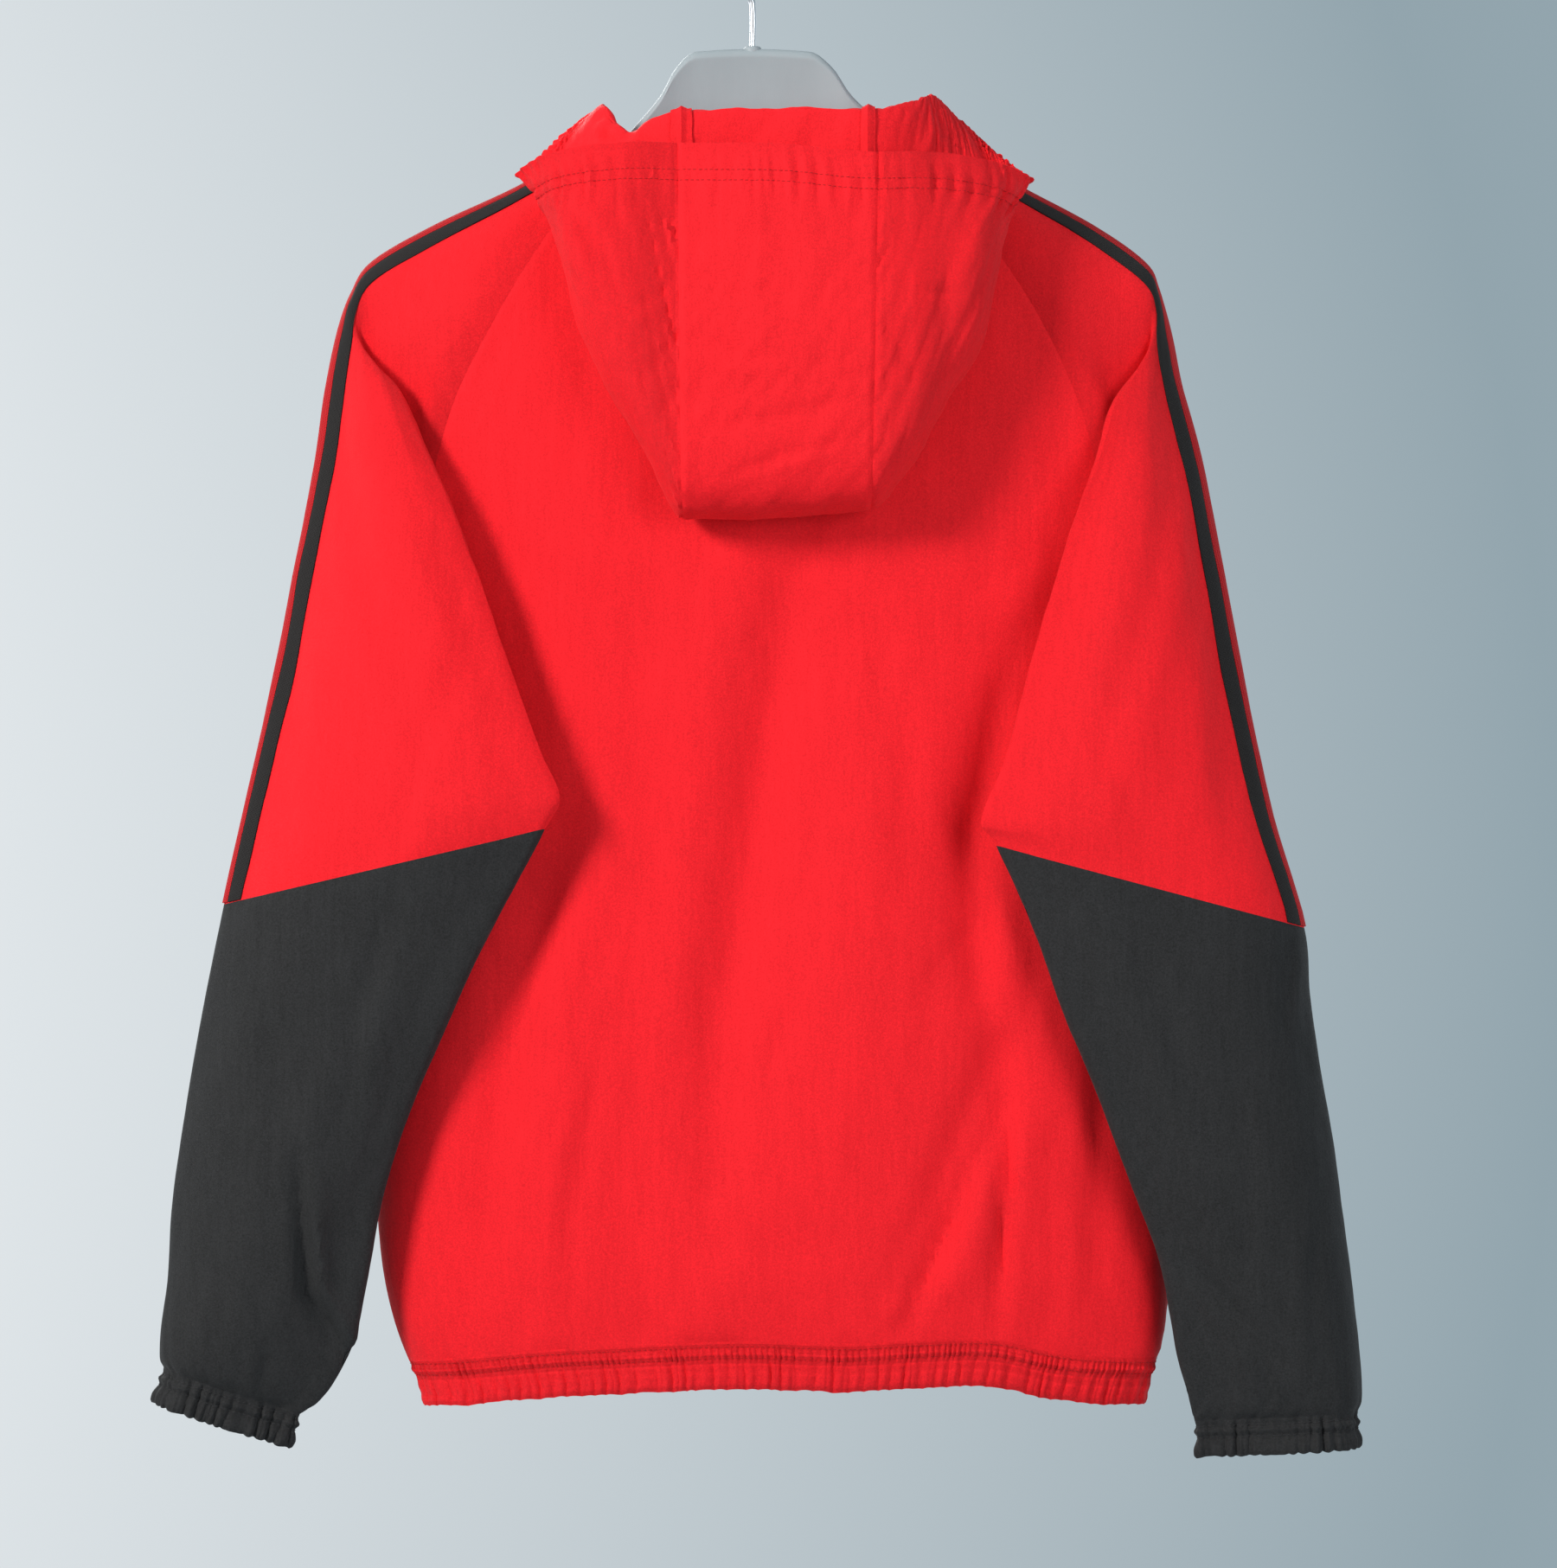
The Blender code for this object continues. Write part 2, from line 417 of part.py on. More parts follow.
def front_grid(side):
    """A front panel, rows from neckline to hem, columns from its side to the zip."""
    sign = 1 if side == "left" else -1
    shares = across_shares(2 * FRONT_COLUMNS)[: FRONT_COLUMNS + 1]
    edge = raglan_curve(side, False)
    neckline = neck_curve(side, False)
    lengths = arc_lengths(neckline)
    zip_neck = np.interp(ZIP_HALF, np.abs(neckline[::-1, 0] - neckline[-1, 0]), lengths[::-1])
    start = -RIB_EDGES[0]
    rows = []
    for i in range(FRONT_RAGLAN_ROWS + 1):
        share = 1 - shares
        if i == 0:
            row = points_at(neckline, start + (zip_neck - start) * share)
            neck_end = row[-1, 2]
            bow = row[:, 2] - (edge[0, 2] + (neck_end - edge[0, 2]) * share)
        else:
            down = i / FRONT_RAGLAN_ROWS
            end_z = neck_end + (ARMPIT_LEFT[1] - neck_end) * down
            end_x = middle_x(end_z) + sign * ZIP_HALF
            x = edge[i, 0] + (end_x - edge[i, 0]) * share
            z = edge[i, 2] + (end_z - edge[i, 2]) * share + bow * (1 - down)
            row = on_body(x, z, False)
            row[0] = edge[i]
        rows.append(row)
    for j in range(1, BODY_ROWS + 1):
        row = body_row(sign * shares, j / BODY_ROWS, False)
        zip_x = middle_x(row[:, 2]) + sign * ZIP_HALF
        side_x = row[0, 0]
        x = side_x + (zip_x - side_x) * (1 - shares)
        z = row[0, 2] + (row[:, 2] - row[0, 2])
        fresh = on_body(x, z, False)
        fresh[0] = row[0]
        rows.append(fresh)
    return np.array(rows)


def along_edge(edge, count, closed=False):
    """Evenly spaced points that lie exactly on the straight runs of another piece's edge."""
    if closed:
        edge = np.concatenate([edge, edge[:1]])
    places = np.linspace(0, arc_lengths(edge)[-1], count + 1)
    return points_at(edge, places[:-1] if closed else places)


def hem_grid(body_edge):
    """The elastic casing at the hem: one band from the zip, round the back, to the zip again."""
    columns = HEM_WAVES * 2
    from_zip = np.minimum(np.arange(columns + 1), np.arange(columns + 1)[::-1]) / columns
    placket = np.clip((from_zip - 0.018) / 0.03, 0, 1)
    rows = [along_edge(body_edge, columns)]
    for height, out, amplitude in HEM_ROWS:
        drop = HEM_HEIGHT * height
        angle = np.linspace(0, 2 * math.pi, 1441) - math.pi / 2
        z = np.full(len(angle), HEM_TOP - drop)
        for _ in range(3):
            left, right, half, middle = section(z)
            x = (left + right) / 2 + (left - right) / 2 * np.sign(np.cos(angle)) * np.abs(np.cos(angle)) ** (2 / ROUND)
            z = hem_top(x) - drop
        y = middle + half * np.sign(np.sin(angle)) * np.abs(np.sin(angle)) ** (2 / ROUND)
        loop = np.stack([x, y, z], axis=1)
        lengths = arc_lengths(loop)
        gap = ZIP_HALF
        row = points_at(loop, np.linspace(gap, lengths[-1] - gap, columns + 1))
        along = np.gradient(row, axis=0)
        outward = np.stack([along[:, 1], -along[:, 0], 0 * along[:, 0]], axis=1)
        outward /= np.linalg.norm(outward, axis=1)[:, None]
        phase = (np.arange(columns + 1) + 0.5) * math.pi
        rows.append(row + outward * ((out + amplitude * np.sin(phase)) * placket)[:, None])
    return np.array(rows)


# ---- the sleeves -----------------------------------------------------------------------------
def ring_columns(total, fold, underarm):
    """Distances round a ring where its columns stand, from the rib tape's front edge on."""
    fixed = list(RIB_EDGES) + list(STRIPE_EDGES[1:])
    back = fixed[-1] + (fold - fixed[-1]) * np.array(FOLD_SHARES)
    under = fold + (underarm - fold) * np.array(UNDER_SHARES)
    front = np.linspace(underarm, total + fixed[0], FRONT_RAGLAN_ROWS + 1)[1:-1]
    return np.concatenate([fixed, back, under, front])


def sleeve_ring(row):
    """One ring of the sleeve, from its table row."""
    out_x, out_z, fold_x, fold_z, arm_x, arm_z, y_out, y_back, y_fold, y_arm, y_front, edge = row
    outer = np.array([out_x, out_z])
    fold = np.array([fold_x, fold_z])
    arm = np.array([arm_x, arm_z])

    def place(flat, y):
        return (flat[0], y, flat[1])

    to_fold = (fold - outer) / np.linalg.norm(fold - outer)
    to_arm = (arm - outer) / np.linalg.norm(arm - outer)
    tucked = fold * 0.45 + arm * 0.55
    free = float(np.clip((y_fold - 0.022) / 0.014, 0, 1))    # 1 where the fold stands off the body
    sunk = 0.25 + 0.35 * max(free, float(np.clip((-0.39 - arm_z) / 0.03, 0, 1)))
    controls = [
        place(outer, y_out),
        place(outer + to_fold * edge * 0.55, y_out + edge * 0.75),
        place(outer * 0.5 + fold * 0.5, y_back),
        place(outer * 0.15 + fold * 0.85, y_back * 0.3 + y_fold * 0.7 + 0.004 * free),
        place(fold, y_fold),
        place(tucked, y_fold + (y_arm - y_fold) * sunk - 0.001),
        place(arm, y_arm),
        place(outer * 0.45 + arm * 0.55, y_front),
        place(outer + to_arm * edge * 0.55, y_out - edge * 0.75),
    ]
    loop = closed_curve(controls)
    lengths = arc_lengths(loop)
    folded, underarm = (lengths[np.argmin(np.linalg.norm(loop - np.array(controls[k]), axis=1))] for k in (4, 6))
    places = ring_columns(lengths[-1], folded, underarm) % lengths[-1]
    return points_at(loop, places)


def armhole_ring(side):
    """The sleeve's first ring: its neck edge, then down the back raglan and up the front one."""
    back_neck = neck_curve(side, True)
    front_neck = neck_curve(side, False)
    crest = [points_at(front_neck, [-d])[0] for d in RIB_EDGES if d < 0]
    crest += [points_at(back_neck, [d])[0] for d in RIB_EDGES if d > 0]
    crest += [points_at(back_neck, [d])[0] for d in STRIPE_EDGES[1:]]
    back = raglan_curve(side, True)[1:]
    front = raglan_curve(side, False)[::-1][1:-1]
    crest[0] = raglan_curve(side, False)[0]
    return np.concatenate([crest, back, front])


def loft(rings, steps):
    """Rows through the rings, with the given number of steps in each interval."""
    rings = np.asarray(rings)
    knots = np.arange(len(rings), dtype=float)
    at = [0.0]
    for i, count in enumerate(steps):
        at += list(i + np.linspace(0, 1, count + 1)[1:])
    flat = rings.reshape(len(rings), -1)
    return cubic(knots, flat, np.array(at)).reshape(len(at), *rings.shape[1:])


def sleeve_grids(side):
    """Upper sleeve and forearm, as rows of closed rings."""
    upper = SLEEVE_LEFT if side == "left" else SLEEVE_RIGHT
    lower = FOREARM_LEFT if side == "left" else FOREARM_RIGHT
    rings = [armhole_ring(side)] + [sleeve_ring(row) for row in upper + lower]
    steps = [1, 1, 1, 1, 2, 2, 2, 2, 1, 1, 1] + [1] * len(lower)
    rows = loft(rings, steps)
    seam = sum(steps[: len(upper)])
    return rows[: seam + 1], rows[seam:]


def cuff_grid(side, sleeve_end):
    """The elastic casing at the wrist, gathered all round."""
    last = (FOREARM_LEFT if side == "left" else FOREARM_RIGHT)[-1]
    columns = CUFF_WAVES * 2
    base = along_edge(sleeve_end, columns, closed=True)
    centre = base.mean(axis=0)
    run = np.array([last[2] - last[0], 0, last[3] - last[1]])
    run /= np.linalg.norm(run)
    down = np.array([run[2], 0, -run[0]])
    down *= -np.sign(down[2])
    along = np.roll(base, -1, axis=0) - np.roll(base, 1, axis=0)
    outward = np.cross(along, down)
    outward /= np.linalg.norm(outward, axis=1)[:, None]
    if np.sum((base - centre) * outward) < 0:
        outward = -outward
    phase = (np.arange(columns) + 0.5) * math.pi
    rows = [base]
    for share, swell, amplitude in CUFF_ROWS:
        push = (swell + amplitude * np.sin(phase))[:, None]
        rows.append(base + down * CUFF_HEIGHT * share + outward * push)
    return np.array(rows)


# ---- the hood --------------------------------------------------------------------------------
def neck_half(side):
    """The neck seam of one side, on the edges of the body and the sleeve, from back to zip."""
    back = back_grid()[0] if side == "left" else back_grid()[0][::-1]
    crest = armhole_ring(side)[: len(RIB_EDGES) + len(STRIPE_EDGES) - 1]
    return np.concatenate([back[: BACK_COLUMNS // 2 + 1][::-1], crest[::-1][1:], front_grid(side)[0][1:]])


def hood_path(station, neck_point):
    """Control points from the neck seam over the fold, down the bag and up to the face edge."""
    _, top_x, top_y, top_z, low_x, low_y, low_z, edge_x, edge_y, edge_z = station
    top = np.array([top_x, top_y, top_z])
    low = np.array([low_x, low_y, low_z])
    face = np.array([edge_x, edge_y, edge_z])
    bag = float(np.clip((face[2] - low[2]) / 0.10, 0, 1))
    rise = neck_point * 0.5 + top * 0.5 + np.array([0, -0.002 * bag, 0])
    inner = top * 0.5 + low * 0.5 + np.array([0, 0.003 * bag, 0])
    turn = low + np.array([0, 0.013, 0.004]) * bag + (face - low) * 0.12 * (1 - bag)
    outer = low * 0.62 + face * 0.38 + np.array([0, 0.022, 0]) * bag
    high = low * 0.25 + face * 0.75 + np.array([0, 0.010, 0]) * bag
    return np.array([neck_point, rise, top, inner, low, turn, outer, high, face])


def hood_grid():
    """Rows from the neck seam to the face edge, columns from the left zip edge round the back."""
    shares, paths, at, necks = [], [], [], []
    for sign, side, table in ((-1, "left", HOOD_LEFT[::-1]), (1, "right", HOOD_RIGHT)):
        seam = neck_half(side)
        whole = arc_lengths(seam)[-1]
        stops = [sign * row[0] for row in table]
        steps = (HOOD_CENTRE_COLUMNS // 2,) + HOOD_SIDE_STEPS
        places = [stops[0]]
        for start, end, count in zip(stops, stops[1:], steps[::sign]):
            places += list(np.linspace(start, end, count + 1)[1:])
        skip = 0 if side == "left" else 1
        shares += stops[skip:]
        paths += [hood_path(row, points_at(seam, [row[0] * whole])[0]) for row in table][skip:]
        at += places[skip:]
        necks += list(points_at(seam, np.abs(places[skip:]) * whole))
    flat = np.array(paths).reshape(len(paths), -1)
    controls = cubic(shares, flat, np.array(at), level=True).reshape(len(at), -1, 3)
    columns = []
    for control, neck_point in zip(controls, necks):
        control[0] = neck_point
        columns.append(open_curve(control, HOOD_ROWS + 1))
    return np.array(columns).transpose(1, 0, 2)


# ---- solids ----------------------------------------------------------------------------------
MATERIALS = {}
PANELS = []


def material(name, colour, roughness, metallic=0.0):
    made = bpy.data.materials.new(name)
    made.use_nodes = True
    shader = made.node_tree.nodes["Principled BSDF"]
    shader.inputs["Base Color"].default_value = colour
    shader.inputs["Roughness"].default_value = roughness
    shader.inputs["Metallic"].default_value = metallic
    MATERIALS[name] = made
    return made


def grid_normals(grid, closed):
    """Normals at a grid's points, lengthened where the cloth turns so that the wall keeps its depth."""
    wrapped = np.concatenate([grid, grid[:, :1]], axis=1) if closed else grid
    faces = np.cross(wrapped[:-1, 1:] - wrapped[1:, :-1], wrapped[1:, 1:] - wrapped[:-1, :-1])
    faces /= np.maximum(np.linalg.norm(faces, axis=2), 1e-12)[..., None]
    faces = np.concatenate([faces[:1], faces, faces[-1:]])
    ends = (faces[:, -1:], faces[:, :1]) if closed else (faces[:, :1], faces[:, -1:])
    faces = np.concatenate([ends[0], faces, ends[1]], axis=1)
    around = np.stack([faces[:-1, :-1], faces[1:, :-1], faces[:-1, 1:], faces[1:, 1:]])
    if closed:
        around = around[:, :, :-1]
    normals = around.sum(axis=0)
    normals /= np.maximum(np.linalg.norm(normals, axis=2), 1e-12)[..., None]
    square = np.clip(np.sum(around * normals, axis=3).min(axis=0), 0.55, 1)
    return normals / square[..., None]


def panel(name, grid, finish, wall, facing=1, closed=False, trims="tblr", lift=0.0):
    """Queues a cloth piece. Trims names the edges that are sewn to another piece."""
    normals = grid_normals(grid, closed) * facing
    PANELS.append({
        "name": name, "grid": grid, "normals": normals, "finish": finish, "wall": wall,
        "facing": facing, "closed": closed, "trims": trims, "lift": lift,
    })


def sewn_edges(piece):
    """The sewn edges of a piece, each as a list of its points' places in the grid."""
    rows, columns = piece["grid"].shape[:2]
    around = list(range(columns)) + ([0] if piece["closed"] else [])
    edges = {
        "t": [(0, j) for j in around], "b": [(rows - 1, j) for j in around],
        "l": [(i, 0) for i in range(rows)], "r": [(i, columns - 1) for i in range(rows)],
    }
    return [np.array(edges[side]) for side in piece["trims"]]


def normals_on(point, piece):
    """The piece's own normal where the point lies on one of its sewn edges, or nothing."""
    for edge in sewn_edges(piece):
        corners = piece["grid"][edge[:, 0], edge[:, 1]]
        normals = piece["normals"][edge[:, 0], edge[:, 1]]
        run = np.diff(corners, axis=0)
        share = np.sum((point - corners[:-1]) * run, axis=1) / np.maximum(np.sum(run * run, axis=1), 1e-15)
        share = np.clip(share, 0, 1)
        away = np.linalg.norm(corners[:-1] + run * share[:, None] - point, axis=1)
        near = int(np.argmin(away))
        if away[near] < 2e-5:
            return normals[near] * (1 - share[near]) + normals[near + 1] * share[near]
    return np.zeros(3)


def share_seam_normals():
    """Gives both sides of a seam the same normals, so that their walls meet squarely."""
    shared = []
    for piece in PANELS:
        for i, j in {tuple(place) for edge in sewn_edges(piece) for place in edge}:
            total = piece["normals"][i, j].copy()
            for other in PANELS:
                if other is not piece:
                    total += normals_on(piece["grid"][i, j], other)
            shared.append((piece, i, j, total))
    for piece, i, j, total in shared:
        if np.linalg.norm(total) > 0.3:
            own = np.linalg.norm(piece["normals"][i, j])
            piece["normals"][i, j] = total / np.linalg.norm(total) * min(own, 1.3)


def trim_edges(grid, trims):
    """Moves the sewn edges in by half the seam gap."""
    trimmed = grid.copy()

    def step(edge, inner):
        run = inner - edge
        seam = np.gradient(edge, axis=0)
        seam /= np.linalg.norm(seam, axis=1)[:, None]
        run -= np.sum(run * seam, axis=1)[:, None] * seam
        return edge + run / np.linalg.norm(run, axis=1)[:, None] * (SEAM_GAP / 2)

    if "t" in trims:
        trimmed[0] = step(grid[0], grid[1])
    if "b" in trims:
        trimmed[-1] = step(grid[-1], grid[-2])
    if "l" in trims:
        trimmed[:, 0] = step(trimmed[:, 0], trimmed[:, 1])
    if "r" in trims:
        trimmed[:, -1] = step(trimmed[:, -1], trimmed[:, -2])
    return trimmed


def add_object(name, vertices, faces, finish):
    mesh = bpy.data.meshes.new(name)
    mesh.from_pydata([tuple(v) for v in vertices], [], faces)
    mesh.materials.append(MATERIALS[finish])
    mesh.shade_smooth()
    mesh.set_sharp_from_angle(angle=math.radians(50))
    made = bpy.data.objects.new(name, mesh)
    bpy.context.collection.objects.link(made)
    work = bmesh.new()
    work.from_mesh(mesh)
    bmesh.ops.triangulate(work, faces=work.faces)
    bmesh.ops.recalc_face_normals(work, faces=work.faces)
    work.to_mesh(mesh)
    work.free()
    return made


def wall_solid(name, outer, inner, finish, closed, base):
    """A closed wall between two grids of the same shape, its triangles chosen on the base grid."""
    rows, columns = outer.shape[:2]
    count = rows * columns
    vertices = np.concatenate([outer.reshape(-1, 3), inner.reshape(-1, 3)])
    last = columns if closed else columns - 1

    def at(i, j, layer):
        return layer * count + i * columns + (j % columns)

    faces = []
    for i in range(rows - 1):
        for j in range(last):
            k = (j + 1) % columns
            falling = np.linalg.norm(base[i, j] - base[i + 1, k])
            rising = np.linalg.norm(base[i, k] - base[i + 1, j])
            for layer in (0, 1):
                a, b = at(i, j, layer), at(i, k, layer)
                c, d = at(i + 1, k, layer), at(i + 1, j, layer)
                pair = [(a, b, c), (a, c, d)] if falling < rising else [(a, b, d), (b, c, d)]
                faces += pair if layer == 0 else [corner[::-1] for corner in pair]
    for j in range(last):
        faces.append((at(0, j + 1, 0), at(0, j, 0), at(0, j, 1), at(0, j + 1, 1)))
        faces.append((at(rows - 1, j, 0), at(rows - 1, j + 1, 0), at(rows - 1, j + 1, 1), at(rows - 1, j, 1)))
    if not closed:
        for i in range(rows - 1):
            faces.append((at(i, 0, 0), at(i + 1, 0, 0), at(i + 1, 0, 1), at(i, 0, 1)))
            faces.append((at(i + 1, columns - 1, 0), at(i, columns - 1, 0), at(i, columns - 1, 1), at(i + 1, columns - 1, 1)))
    return add_object(name, vertices, faces, finish)


def build_panels():
    share_seam_normals()
    for piece in PANELS:
        grid = trim_edges(piece["grid"], piece["trims"])
        outer = grid + piece["normals"] * piece["lift"]
        inner = grid + piece["normals"] * (piece["lift"] - piece["wall"])
        wall_solid(piece["name"], outer, inner, piece["finish"], piece["closed"], piece["grid"])


def add_tapes(side, upper, facing):
    """Knitted tapes along the outer line of the upper sleeve, lying on its cloth."""
    stripe = upper[:, len(RIB_EDGES) - 1: len(RIB_EDGES) + len(STRIPE_EDGES) - 1]
    rib = upper[:, : len(RIB_EDGES)]
    whole = grid_normals(upper, True) * facing
    for name, part, normals in (
        ("rib_tape_" + side, rib, whole[:, : len(RIB_EDGES)]),
        ("stripe_tape_" + side, stripe, whole[:, len(RIB_EDGES) - 1: len(RIB_EDGES) + len(STRIPE_EDGES) - 1]),
    ):
        grid = trim_edges(part, "lr")
        grid[0] += (grid[1] - grid[0]) * 0.06
        grid[-1] += (grid[-2] - grid[-1]) * 0.03
        finish = "rib_knit" if name.startswith("rib") else "black_tape"
        wall_solid(name, grid + normals * (LAY_GAP + TAPE), grid + normals * LAY_GAP, finish, False, part)


def ring_solid(name, rings, finish):
    """A solid lofted through closed rings, capped at both ends."""
    rings = np.asarray(rings)
    rows, columns = rings.shape[:2]
    faces = []
    for i in range(rows - 1):
        for j in range(columns):
            k = (j + 1) % columns
            faces.append((i * columns + j, i * columns + k, (i + 1) * columns + k, (i + 1) * columns + j))
    faces.append(tuple(range(columns))[::-1])
    faces.append(tuple((rows - 1) * columns + j for j in range(columns)))
    return add_object(name, rings.reshape(-1, 3), faces, finish)


def add_hanger():
    """The moulded body, lofted from tip to tip through rounded upright sections."""
    table = np.array(HANGER)
    left, right = table[::-1].copy(), table[1:].copy()
    left[:, 0] = left[:, 0] + left[:, 1]
    right[:, 0] = -right[:, 0] + right[:, 1]
    stations = np.concatenate([left, right])
    rings = []
    angles = np.arange(12) * (2 * math.pi / 12) + math.pi / 12
    for place, _, top, bottom, half in stations:
        middle = (top + bottom) / 2
        straight = (top - bottom) / 2 - half
        lift = np.where(np.sin(angles) > 0, straight, -straight)
        rings.append(np.stack([
            np.full(len(angles), place),
            half * np.cos(angles),
            middle + lift + half * np.sin(angles),
        ], axis=1))
    ring_solid("hanger_body", rings, "hanger_plastic")


def add_hook():
    """The steel hook: a stem out of the hanger's collar and a bend that goes over the rail."""
    middle = HOOK_WIRE - HOOK_BEND           # the wire's underside is at the origin
    points = [(0.0, 0.0, HANGER[0][2] + SEAM_GAP)] + [(x, 0.0, z) for x, z in HOOK_NECK[::-1]]
    for degrees in range(130, -80, -15):
        angle = math.radians(degrees)
        points.append((HOOK_BEND * math.sin(angle), 0.0, middle + HOOK_BEND * math.cos(angle)))
    path = np.array(points)
    rings = []
    angles = np.arange(8) * (2 * math.pi / 8)
    for along, point in zip(np.gradient(path, axis=0), path):
        along = along / np.linalg.norm(along)
        side = np.array([along[2], 0, -along[0]])
        rings.append(point + HOOK_WIRE * (np.outer(np.cos(angles), side) + np.outer(np.sin(angles), (0, 1, 0))))
    ring_solid("hanger_hook", rings, "steel")


def follow_front(x, z, behind):
    """A point this far behind the fronts' outer face."""
    return on_body(x, z, False) + np.array([0, 1, 0]) * np.asarray(behind)[..., None]


def add_zip_tape(side, front):
    """A tape behind the edge of one front, from the neck seam to the bottom of the hem."""
    sign = 1 if side == "left" else -1
    bottom = hem_top(middle_x(HEM_TOP)) - HEM_HEIGHT + 0.002
    turn = hem_top(middle_x(HEM_TOP))
    z = np.concatenate([[ZIP_TOP], front[1:-1, -1, 2], [turn + 0.003], np.linspace(turn - 0.001, bottom, 3)])
    behind = np.where(z < turn + 0.002, CASING, CLOTH) + SEAM_GAP
    grids = []
    for extra in (0, ZIP_TAPE):
        edges = [follow_front(middle_x(z) + sign * x, z, behind + extra) for x in (ZIP_TAPE_INNER, ZIP_TAPE_OUTER)]
        grids.append(np.stack(edges, axis=1))
    wall_solid("zip_tape_" + side, grids[0], grids[1], "zip_tape", False, grids[0])


def outline_solid(name, outline, hole, low, high, axis, finish):
    """A plate between two depths with one hole, both outlines given as loops of equal count."""
    rings = []
    for loop, depth in ((outline, low), (outline, high), (hole, high), (hole, low)):
        if axis == "x":
            rings.append([(depth, a, b) for a, b in loop])
        else:
            rings.append([(a, depth, b) for a, b in loop])
    count = len(outline)
    faces = []
    for ring in range(4):
        following = (ring + 1) % 4
        for j in range(count):
            k = (j + 1) % count
            faces.append((ring * count + j, ring * count + k, following * count + k, following * count + j))
    return add_object(name, [point for ring in rings for point in ring], faces, finish)


def rounded_loop(low, high, radius, steps=4):
    """A rectangle with rounded corners as points, from its low to its high corner."""
    centres = (
        (high[0] - radius, high[1] - radius, 0), (low[0] + radius, high[1] - radius, 90),
        (low[0] + radius, low[1] + radius, 180), (high[0] - radius, low[1] + radius, 270),
    )
    points = []
    for x, z, start in centres:
        for step in range(steps + 1):
            angle = math.radians(start + 90 * step / steps)
            points.append((x + radius * math.cos(angle), z + radius * math.sin(angle)))
    return points


def add_slider():
    """The slider body in front of the tapes, with the bail that holds the pull."""
    x = middle_x(SLIDER_TOP)
    width, depth, height = SLIDER
    back = float(on_body(x, SLIDER_TOP, False)[1]) + CLOTH - SEAM_GAP * 2
    face = back - depth
    body = rounded_loop((x - width / 2, SLIDER_TOP - height), (x + width / 2, SLIDER_TOP), 0.002)
    rings = [[(a, y, b) for a, b in body] for y in (back, face)]
    plate = ring_solid("zip_slider", rings, "zip_metal")
    top = SLIDER_TOP - 0.0015
    outer = rounded_loop((face - BAIL_OUT - BAIL_BAR, top - BAIL_HIGH - 2 * BAIL_BAR), (face + 0.001, top), 0.0008)
    inner = rounded_loop((face - BAIL_OUT, top - BAIL_HIGH - BAIL_BAR), (face, top - BAIL_BAR), 0.0005)
    bail = outline_solid("bail", outer, inner, x - BAIL_WIDTH / 2, x + BAIL_WIDTH / 2, "x", "zip_metal")
    join = plate.modifiers.new("join", "BOOLEAN")
    join.operation = "UNION"
    join.solver = "EXACT"
    join.object = bail
    bail.hide_render = True
    return x, face - BAIL_OUT / 2, top - BAIL_BAR - BAIL_HIGH / 2


def add_pull(hinge):
    """The pull tab: a plate with a slot, its top bar running through the bail."""
    x, y, z = hinge
    half = PULL_WIDTH / 2
    outline = rounded_loop((x - half, z - PULL_LENGTH), (x + half, z + PULL_BAR), PULL_BAR * 0.9)
    slot = rounded_loop((x - PULL_SLOT_WIDTH / 2, z - PULL_SLOT_END), (x + PULL_SLOT_WIDTH / 2, z - PULL_BAR), 0.0006)
    outline_solid("zip_pull", outline, slot, y - PULL_BAR, y + PULL_BAR, "y", "zip_metal")


def main():
    for existing in list(bpy.data.objects):
        bpy.data.objects.remove(existing)
    material("red_shell", RED, 0.75)
    material("black_shell", BLACK, 0.8)
    material("rib_knit", RIB_RED, 0.9)
    material("black_tape", BLACK, 0.9)
    material("hanger_plastic", GREY, 0.5)
    material("steel", STEEL, 0.25, 1.0)
    material("zip_metal", STEEL, 0.35, 1.0)
    material("zip_tape", RIB_RED, 0.9)

    back, left, right = back_grid(), front_grid("left"), front_grid("right")
    panel("back", back, "red_shell", CLOTH, facing=-1)
    panel("front_left", left, "red_shell", CLOTH, facing=1, trims="tbl")
    panel("front_right", right, "red_shell", CLOTH, facing=-1, trims="tbl")
    hem = hem_grid(np.concatenate([left[-1][::-1], back[-1][1:], right[-1][1:]]))
    panel("hem_casing", hem, "red_shell", CASING, facing=-1, trims="t")
    for side, facing in (("left", -1), ("right", 1)):
        upper, lower = sleeve_grids(side)
        cuff = cuff_grid(side, lower[-1])
        panel("sleeve_upper_" + side, upper, "red_shell", CLOTH, facing=facing, closed=True, trims="tb")
        panel("sleeve_lower_" + side, lower, "black_shell", CLOTH, facing=facing, closed=True, trims="tb")
        panel("cuff_" + side, cuff, "black_shell", CASING, facing=facing, closed=True, trims="t")
        add_tapes(side, upper, facing)
    hood = hood_grid()
    first = sum(HOOD_SIDE_STEPS)
    last = first + HOOD_CENTRE_COLUMNS
    panel("hood_left", hood[:, : first + 1], "red_shell", CLOTH, facing=1, trims="tr")
    panel("hood_centre", hood[:, first: last + 1], "red_shell", CLOTH, facing=1, trims="tlr")
    panel("hood_right", hood[:, last:], "red_shell", CLOTH, facing=1, trims="tl")
    build_panels()
    add_hanger()
    add_hook()
    add_zip_tape("left", left)
    add_zip_tape("right", right)
    add_pull(add_slider())


main()
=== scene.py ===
# Hooded windbreaker on a moulded hanger: cloth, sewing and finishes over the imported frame.
# Metres, +Z up, +Y the garment's back, +X the wearer's left. The origin is inside the top of the hook.
import math

